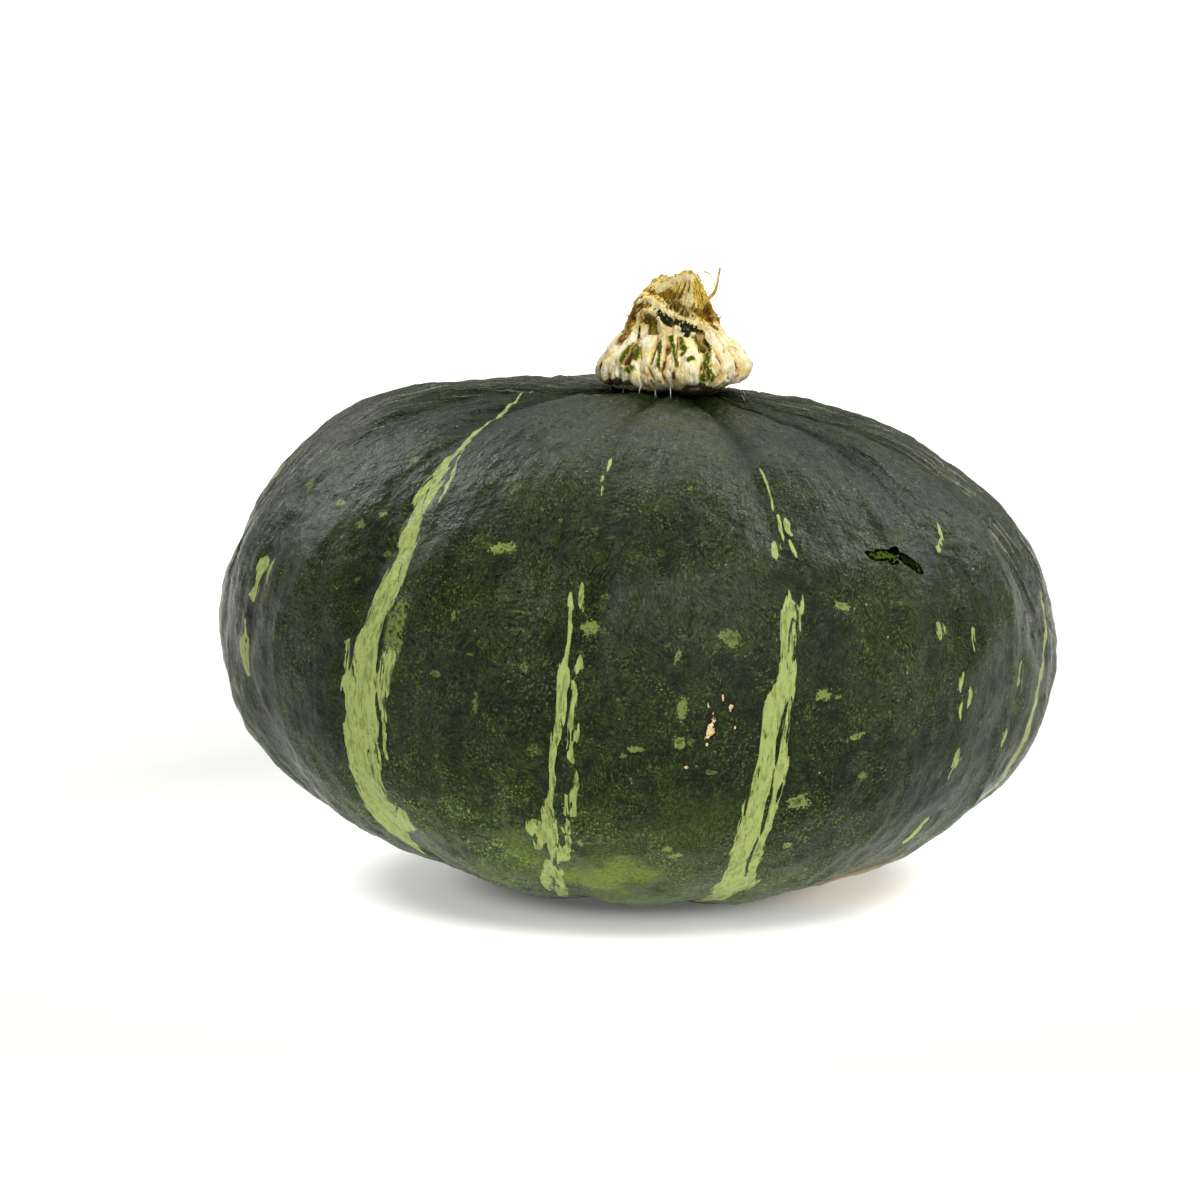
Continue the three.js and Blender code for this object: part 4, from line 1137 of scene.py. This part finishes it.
def corkStem():
    material, tree, shader = newMaterial("corkStem", IOR=1.4, **{"Specular IOR Level": 0.2})
    place = objectPlace(tree)
    x, y, turn, height, radius = stemPlace(place)
    roundX, roundY = x / radius, y / radius
    wander = (noise(place, 5.0, 2.0) - 0.5) * 1.8
    columns = combine(roundX * 14.0 + wander, roundY * 14.0 + wander, height * 0.16)
    streaks = noise(columns, 0.5, 4.0, 0.7)
    bands = noise(columns, 1.6, 2.0, 0.6)
    blotch = noise(place, 2.6, 3.0, 0.6)
    rough = noise(place, 1.1, 3.0, 0.68)
    fine = noise(place, 0.34, 3.0, 0.7)
    colour = mixColour(stemLook["cream"], stemLook["white"], fade(blotch, 0.4, 0.56))
    colour = mixColour(colour, stemLook["tan"], fade(bands, 0.54, 0.7) * 0.55)
    colour = mixColour(colour, stemLook["tan"], fade(streaks, 0.54, 0.64) * 0.75)
    colour = mixColour(colour, stemLook["brown"], fade(streaks, 0.64, 0.72) * 0.8)
    colour = mixColour(colour, stemLook["brown"], fade(rough, 0.64, 0.72) * 0.45)

    # The broken stump: straw and ochre fibres, with brown between them.
    stump = fade(height + (blotch - 0.5) * 5.0, 12.0, 15.0)
    fan = maths("ARCTAN2", x - 1.5, 27.0 - height) * 14.0  # the fibres spread down from the tip
    fibres = noise(combine(fan + wander, y * 0.5, height * 0.22), 0.8, 4.0, 0.7)
    stumpColour = mixColour(stemLook["straw"], stemLook["cream"], fade(blotch, 0.42, 0.58))
    stumpColour = mixColour(stumpColour, stemLook["ochre"], fade(fibres, 0.44, 0.56))
    stumpColour = mixColour(stumpColour, stemLook["brown"], fade(fibres, 0.6, 0.68) * 0.85)
    colour = mixColour(colour, stumpColour, stump)

    def painted(kind, raggedness=1.3):
        return fade(attribute(tree, kind, "Fac") + (rough - 0.5) * raggedness + (fine - 0.5) * 0.7, -0.2, 0.12)

    light = fade(fine, 0.42, 0.6)
    colour = mixColour(colour, mixColour(stemLook["ochre"], stemLook["straw"], light), painted("ochre") * 0.85)
    hollow = mixColour(stemLook["olive"], stemLook["ochre"], fade(rough, 0.5, 0.62))
    hollow = mixColour(hollow, stemLook["brown"], fade(fibres, 0.48, 0.56) * 0.9)
    colour = mixColour(colour, hollow, painted("olive"))
    upper = larger(stump, painted("ochre"))
    colour = mixColour(colour, stemLook["brown"], upper * fade(fibres, 0.53, 0.6) * 0.9)
    colour = mixColour(colour, stemLook["white"], upper * fade(fibres, 0.44, 0.38) * 0.5)
    rust = mixColour(stemLook["brown"], stemLook["rust"], fade(streaks, 0.6, 0.44))
    rust = mixColour(rust, stemLook["straw"], fade(fibres, 0.56, 0.66) * 0.6)
    colour = mixColour(colour, rust, painted("rust"))
    pocket = mixColour(stemLook["deepBrown"], stemLook["pocket"], fade(attribute(tree, "pocket", "Fac"), 0.0, 0.5))
    colour = mixColour(colour, pocket, painted("pocket", 0.7))
    band = mixColour(stemLook["band"], stemLook["white"], fade(fine, 0.5, 0.66) * 0.5)
    band = mixColour(band, stemLook["ochre"], fade(streaks, 0.56, 0.64) * 0.7)
    band = mixColour(band, stemLook["brown"], fade(rough, 0.6, 0.68) * 0.7)
    colour = mixColour(colour, band, painted("cream", 1.8))

    # Green and nearly black patches with white cells in them.
    whiteNear, whiteCell = cells(place, 0.8)
    whiteCells = fade(whiteNear, 0.32, 0.2) * fade(whiteCell, 0.45, 0.55)
    mossShare = painted("moss", 2.0)
    for at, patchHeight, wide, tall in greenPatches:
        aside = maths("WRAP", turn - float(at), 180.0, -180.0) * radius * (math.pi / 180) / wide
        patchAt = length(aside, (height - patchHeight) / tall) + (rough - 0.5) * 1.6
        mossShare = larger(mossShare, fade(patchAt, 1.15, 0.8))
    mossDepth = fade(attribute(tree, "moss", "Fac") + (rough - 0.5) * 1.4, 0.0, 0.45)
    moss = mixColour(stemLook["mossLight"], stemLook["moss"], mossDepth)
    colour = mixColour(colour, moss, mossShare * (1.0 - whiteCells * 0.8))
    whites = larger(whiteCells, fade(streaks, 0.6, 0.68))
    colour = mixColour(colour, stemLook["darkGreen"], painted("dark", 1.6) * (1.0 - whites * 0.85))

    crack = attribute(tree, "crackShare", "Fac")
    colour = mixColour(colour, stemLook["tan"], fade(crack, 0.2, 0.6) * 0.7)
    cracked = mixColour(stemLook["brown"], stemLook["olive"], fade(blotch, 0.46, 0.54))
    colour = mixColour(colour, cracked, fade(crack + (fine - 0.5) * 0.6, 0.66, 0.9))
    # Painted shade: dark brown under the lip and at the foot of the stem.
    shadeUnderLip = larger(painted("shadeUnderLip", 0.8), fade(height + (rough - 0.5) * 1.5, 1.2, 0.0))
    colour = mixColour(colour, stemLook["deepBrown"], shadeUnderLip * 0.9)
    colour = vectorMaths("SCALE", colour, (fine - 0.5) * 0.7 + 1.0)

    relief = streaks * 0.5 + fine * 0.22 + rough * 0.35
    roughness = mixNumber(0.5, 0.8, fade(fine, 0.3, 0.7)) - mossShare * 0.2
    wireUp(tree, shader, colour, roughness, relief)
    return material


# A copy of a solid's mesh, merged and joined into quads, ready to be smoothed.
def quadCopy(name, node):
    copy = bmesh.new()
    copy.from_mesh(node.data)
    bmesh.ops.remove_doubles(copy, verts=copy.verts, dist=1e-6)
    bmesh.ops.join_triangles(
        copy, faces=copy.faces, angle_face_threshold=math.radians(60), angle_shape_threshold=math.radians(80)
    )
    for face in copy.faces:
        face.smooth = True
    mesh = bpy.data.meshes.new(name)
    copy.to_mesh(mesh)
    copy.free()
    return mesh


# A smoothed copy, by Subdivision Surface. The cage is swollen first by what the smoothing takes away.
def smoothed(mesh, levels, rounds=3, pull=0.8):
    cage = placesOf(mesh)
    target, result = cage.copy(), None
    for attempt in range(rounds + 1):
        mesh.vertices.foreach_set("co", cage.ravel())
        mesh.update()
        carrier = newObject("carrier", mesh)
        smoother = carrier.modifiers.new("smoother", "SUBSURF")
        smoother.levels = smoother.render_levels = levels if attempt == rounds else 1
        result = plainMesh(carrier)
        bpy.data.objects.remove(carrier)
        cage += (target - placesOf(result)[: len(cage)]) * pull
    return result


# Bristles and splinters: slim cones that stand on points, along each point's own aim.
def bristleTree(material, inputs):
    tree, wires, end = newTree("bristleTree", inputs)
    geometry, sides, steps = wires.values()
    shape = {"Vertices": sides, "Side Segments": steps, "Radius Top": 0.12, "Radius Bottom": 1.0, "Depth": 1.0}
    cone = wireOf(tree, "GeometryNodeMeshCone", shape)
    points = wireOf(tree, "GeometryNodeMeshToPoints", [geometry])
    aim, girth = stored(tree, "aim", "FLOAT_VECTOR"), stored(tree, "girth")
    turned = wireOf(tree, "FunctionNodeAlignRotationToVector", {"Vector": aim}, axis="Z")
    scale = combine(girth, girth, vectorMaths("LENGTH", aim))
    inputs = {"Points": points, "Instance": cone, "Rotation": turned, "Scale": scale}
    return finishTree(tree, wireOf(tree, "GeometryNodeInstanceOnPoints", inputs), material, end)


def growBristles(name, rows, material, sides=5, steps=2):
    places, aims, girths = zip(*rows)
    mesh = bpy.data.meshes.new(name)
    mesh.from_pydata(places, [], [])
    writeAttribute(mesh, "aim", aims, "FLOAT_VECTOR")
    writeAttribute(mesh, "girth", girths)
    inputs = {"Geometry": None, "Sides": sides, "Steps": steps}
    return growPiece(name, bristleTree(material, inputs), inputs, mesh)


def plainFibre(name, dark, bright, grain, roughness):
    material, tree, shader = newMaterial(name, IOR=1.45)
    place = objectPlace(tree)
    share = fade(noise(place, grain, 2.0), 0.35, 0.65)
    wireUp(tree, shader, mixColour(dark, bright, share), mixNumber(roughness, roughness + 0.15, share), share * 0.05)
    return material


def finishPiece(piece, node=None):
    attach(piece, "root")
    if node:
        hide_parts(node)


camera = {
    "elevation": 9.5,
    "distance": 1080.0,
    "centre": (0.0, 0.0, 53.66),
    "aimLeft": 8.28,
    "aimUp": 6.92,
    "lens": 150.46,
    "sensor": 36.0,
    "frame": 1200,  # columns and rows
    "centreSeen": (638.4, 632.1),  # column and row that the centre is at
}


# A point of the camera's frame, at a depth of y millimetres, as a place in metres.
def placeSeen(column, row, depth):
    rise, middle = math.radians(camera["elevation"]), camera["centre"][2]
    perPixel = camera["distance"] / (camera["lens"] / camera["sensor"] * camera["frame"])
    centreColumn, centreRow = camera["centreSeen"]
    height = middle
    for _ in range(4):
        away = 1 + (depth * math.cos(rise) - (height - middle) * math.sin(rise)) / camera["distance"]
        height = middle + ((centreRow - row) * perPixel * away - depth * math.sin(rise)) / math.cos(rise)
    return Vector(((column - centreColumn) * perPixel * away, depth, height)) * millimetre


# Where the line of sight through a point of the camera's frame meets a surface, or nothing.
def seenOn(surface, column, row):
    near, far = placeSeen(column, row, -120.0), placeSeen(column, row, 120.0)
    return surface.ray_cast(near, (far - near).normalized())[0]


print("skin:")
skinPiece = growPiece("fruitSkin", skinTree(kabochaSkin()), skinInputs)
markSkin(skinPiece.data)
finishPiece(skinPiece, "fruit")

print("stem:")
stemSource = paintStem(smoothed(quadCopy("stemQuads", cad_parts["stem"]), stem["subdivisions"]))
stemPiece = growPiece("corkyStem", stemTree(corkStem()), stemInputs, stemSource)
finishPiece(stemPiece, "stem")

fibres = {
    "seed": 31,
    "bristlesRound": 22,
    "bristleLength": (1.2, 2.6),
    "bristleGirth": 0.075,
    "splinters": 46,
    "splinterLength": (0.6, 1.6),
    "splinterGirth": 0.16,
    "spikes": [  # seen root and tip of the stoutest splinters at the edges of the stump
        (718, 318.5, 723.5, 314.5), (716.5, 316, 719, 310.5), (712.5, 306, 716, 303.5), (629.5, 311, 626, 308),
        (628.5, 316, 625, 314.5), (631, 308, 628.5, 303.5), (655, 281, 653, 278.5), (699.5, 281, 701.5, 278.5),
    ],
    "seenBristles": [  # seen root and tip
        (655, 390.5, 654.6, 399), (654, 392, 656.5, 397.5), (670, 388.5, 670.4, 399.5), (671.5, 386, 672.5, 389.5),
        (707.5, 384, 706.2, 391), (722, 385, 721.4, 391.5), (723.5, 385, 724, 390), (640, 389, 638.6, 394.5),
    ],
}


# White bristles under the lip of the stem, and splinters along its broken edge.
def growFibres():
    draw = random.Random(fibres["seed"])
    surface, skin = surfaceOf(stemPiece.data), surfaceOf(skinPiece.data)
    foot, stemAxis = Vector(stem["foot"]), Vector(stemAxes[2])
    bristles = []
    for rootColumn, rootRow, tipColumn, tipRow in fibres["seenBristles"]:
        root = seenOn(surface, rootColumn, rootRow - 3)
        tip = seenOn(skin, tipColumn, tipRow)
        if root and tip:
            bristles.append((root, tip - root, fibres["bristleGirth"] * 1.6 * millimetre))
    for index in range(fibres["bristlesRound"]):
        turn = math.tau * (index + draw.uniform(-0.4, 0.4)) / fibres["bristlesRound"]
        if -0.5 < math.sin(turn) < 0.95 and math.cos(turn) > 0.3:  # the front has its own
            continue
        outward = Vector((math.sin(turn), -math.cos(turn), 0))
        start = (foot + outward * 15.0) * millimetre
        landed = skin.ray_cast(start + Vector((0, 0, 0.02)), Vector((0, 0, -1)))[0]
        if landed is None:
            continue
        reach = draw.uniform(*fibres["bristleLength"]) * millimetre
        aim = (Vector((0, 0, 1)) - outward * draw.uniform(0.1, 0.7)).normalized() * reach
        bristles.append((landed, aim, fibres["bristleGirth"] * millimetre))
    splinters = []
    for rootColumn, rootRow, tipColumn, tipRow in fibres["spikes"]:
        root = seenOn(surface, rootColumn, rootRow)
        if root:
            tip = placeSeen(tipColumn, tipRow, root.y / millimetre)
            splinters.append((root, tip - root, fibres["splinterGirth"] * 1.3 * millimetre))
    ridge = [
        vertex for vertex in stemPiece.data.vertices
        if (vertex.co / millimetre - foot) @ stemAxis > 12.5 and vertex.normal.z > 0.35
    ]
    for vertex in draw.sample(ridge, fibres["splinters"]):
        aim = (vertex.normal + Vector([draw.uniform(-0.9, 0.9) for _ in range(3)])).normalized()
        reach = draw.uniform(*fibres["splinterLength"]) * millimetre
        girth = fibres["splinterGirth"] * draw.uniform(0.4, 1) * millimetre
        splinters.append((vertex.co - aim * 0.2 * millimetre, aim * reach, girth))
    bristleMaterial = plainFibre("paleBristle", (0.6, 0.62, 0.5), (0.9, 0.9, 0.82), 0.8, 0.4)
    splinterMaterial = plainFibre("stemSplinter", (0.1, 0.06, 0.012), (0.8, 0.62, 0.24), 1.1, 0.6)
    finishPiece(growBristles("stemBristles", bristles, bristleMaterial))
    finishPiece(growBristles("stemSplinters", splinters, splinterMaterial))
    print("bristles and splinters:", len(bristles) + len(splinters))


growFibres()

# The straw fibres at the right of the broken end: column and row seen, depth and girth of each point.
straws = {
    "strawStout": [(703, 303.5, 3, 0.6), (708.8, 297.5, 2, 0.46), (714, 292, 1.6, 0.38), (716.3, 286, 1.4, 0.27),
                   (718, 277, 1, 0.25), (719.7, 267.6, 0.8, 0.24)],
    "strawCurl": [(715, 290, 1.6, 0.1), (714.2, 284, 2, 0.09), (711.7, 277, 2.6, 0.09), (708.8, 273, 3, 0.13),
                  (703, 271.4, 3.4, 0.15)],
    "strawThread": [(714.8, 291, 1, 0.07), (715, 300, 1.4, 0.06), (715.6, 311, 0.6, 0.06)],
}


def growStraw(name, rows, material):
    path = bpy.data.curves.new(name, "CURVE")
    path.dimensions = "3D"
    path.bevel_depth = millimetre
    path.bevel_resolution = 2
    path.use_fill_caps = True
    spline = path.splines.new("BEZIER")
    spline.bezier_points.add(len(rows) - 1)
    for point, (column, row, depth, girth) in zip(spline.bezier_points, rows):
        point.co = placeSeen(column, row, depth)
        point.handle_left_type = point.handle_right_type = "AUTO"
        point.radius = girth
    path.materials.append(material)
    carrier = newObject("carrier", path)
    mesh = plainMesh(carrier)
    bpy.data.objects.remove(carrier)
    finishPiece(newObject(name, mesh))


strawMaterial = plainFibre("dryStraw", (0.5, 0.3, 0.045), (0.72, 0.52, 0.14), 1.2, 0.5)
for name, rows in straws.items():
    growStraw(name, rows, strawMaterial)
print("straws:", len(straws))

studio = {
    "floorWidth": 60.0,  # metres
    "floorColour": (0.6, 0.6, 0.57),
    "glowColour": (1.0, 1.0, 0.96),
    "paintedShadowCentre": (0.5, -2.6),
    # The glow dims under the fruit, a painted shadow, and is brightest in a ring round it, painted light.
    "floorGlowAndShadow": [  # its strength at each radius from there
        (0.1, 27), (0.45, 46), (0.47, 49), (1.0, 69), (0.92, 80), (0.42, 120), (0.2, 170), (0.2, 260), (0.6, 500),
    ],
    "overhead": 0.2,
    "backSky": 0.75,
    "surround": 0.15,
    "cameraSide": 0.05,
    "lamps": [  # name, where the light comes from, how wide it looks in degrees, its strength, and if it glints
        ("overheadLamp", (0.1, 0.35, 1.0), 30, 1.5, False),
        ("frontLamp", (0.3, -1.0, 1.1), 45, 1.4, False),
        ("sheenLamp", (0.45, -1.0, 0.82), 24, 1.2, True),
        ("leftBackLamp", (-0.75, 1.0, 0.8), 24, 0.65, True),
        ("rightBackLamp", (0.85, 0.9, 0.75), 20, 0.5, True),
    ],
}


# A pale floor that glows. Its glow is painted light, and it dims under the fruit as a painted shadow.
def paleFloor():
    floorMesh = bpy.data.meshes.new("floor")
    half = studio["floorWidth"] / 2
    floorMesh.from_pydata([(-half, -half, 0), (half, -half, 0), (half, half, 0), (-half, half, 0)], [], [(0, 1, 2, 3)])
    paper = {"Base Color": opaque(studio["floorColour"]), "Emission Color": opaque(studio["glowColour"])}
    material, tree, shader = newMaterial("palePaper", **paper, **{"Specular IOR Level": 0.0, "Roughness": 1.0})
    x, y, z = separate(objectPlace(tree))
    glowX, glowY = studio["paintedShadowCentre"]
    # The painted shadow under the fruit and the painted light round it: the glow's strength by the distance from
    # there.
    apart = length(x - glowX, y - glowY)
    (glow, near), *further = studio["floorGlowAndShadow"]
    for strength, radius in further:
        glow = mixNumber(glow, strength, fade(apart, float(near), float(radius)))
        near = radius
    tree.links.new(glow.socket, shader.inputs["Emission Strength"])
    floorMesh.materials.append(material)
    newObject("floor", floorMesh)


# A dim surround, darkest on the camera's side, with a pale sky behind the fruit.
def lightStudio():
    world = bpy.data.worlds.new("studio")
    bpy.context.scene.world = world
    world.use_nodes = True
    tree = world.node_tree
    across, back, up = separate(wireOf(tree, "ShaderNodeTexCoord", output="Generated"))
    strength = mixNumber(studio["surround"], studio["cameraSide"], fade(-back, -0.15, 0.7))
    strength = mixNumber(strength, studio["overhead"], fade(up, 0.5, 0.9))
    strength = mixNumber(strength, studio["backSky"], fade(back, 0.1, 0.6) * fade(up, 0.2, 0.5))
    background = tree.nodes["Background"]
    background.inputs["Color"].default_value = (1.0, 1.0, 1.0, 1.0)
    tree.links.new(strength.socket, background.inputs["Strength"])
    for name, heading, width, strength, glints in studio["lamps"]:
        lamp = bpy.data.lights.new(name, "SUN")
        lamp.angle = math.radians(width)
        lamp.energy = strength
        lampObject = newObject(name, lamp)
        lampObject.rotation_euler = Vector(heading).to_track_quat("Z", "Y").to_euler()
        lampObject.visible_glossy = glints


def placeCamera():
    rise = math.radians(camera["elevation"])
    forward = Vector((0, math.cos(rise), -math.sin(rise)))
    up = Vector((0, math.sin(rise), math.cos(rise)))
    centre = Vector(camera["centre"])
    aim = centre + Vector((-camera["aimLeft"], 0, 0)) + up * camera["aimUp"]
    lens = bpy.data.cameras.new("camera")
    lens.lens = camera["lens"]
    lens.clip_end = 100.0
    eye = newObject("camera", lens)
    eye.location = (centre - forward * camera["distance"]) * millimetre
    eye.rotation_mode = "QUATERNION"
    eye.rotation_quaternion = (aim * millimetre - eye.location).to_track_quat("-Z", "Y")
    bpy.context.scene.camera = eye


paleFloor()
lightStudio()
placeCamera()
bpy.context.scene.view_settings.view_transform = "Standard"
print("studio ready")
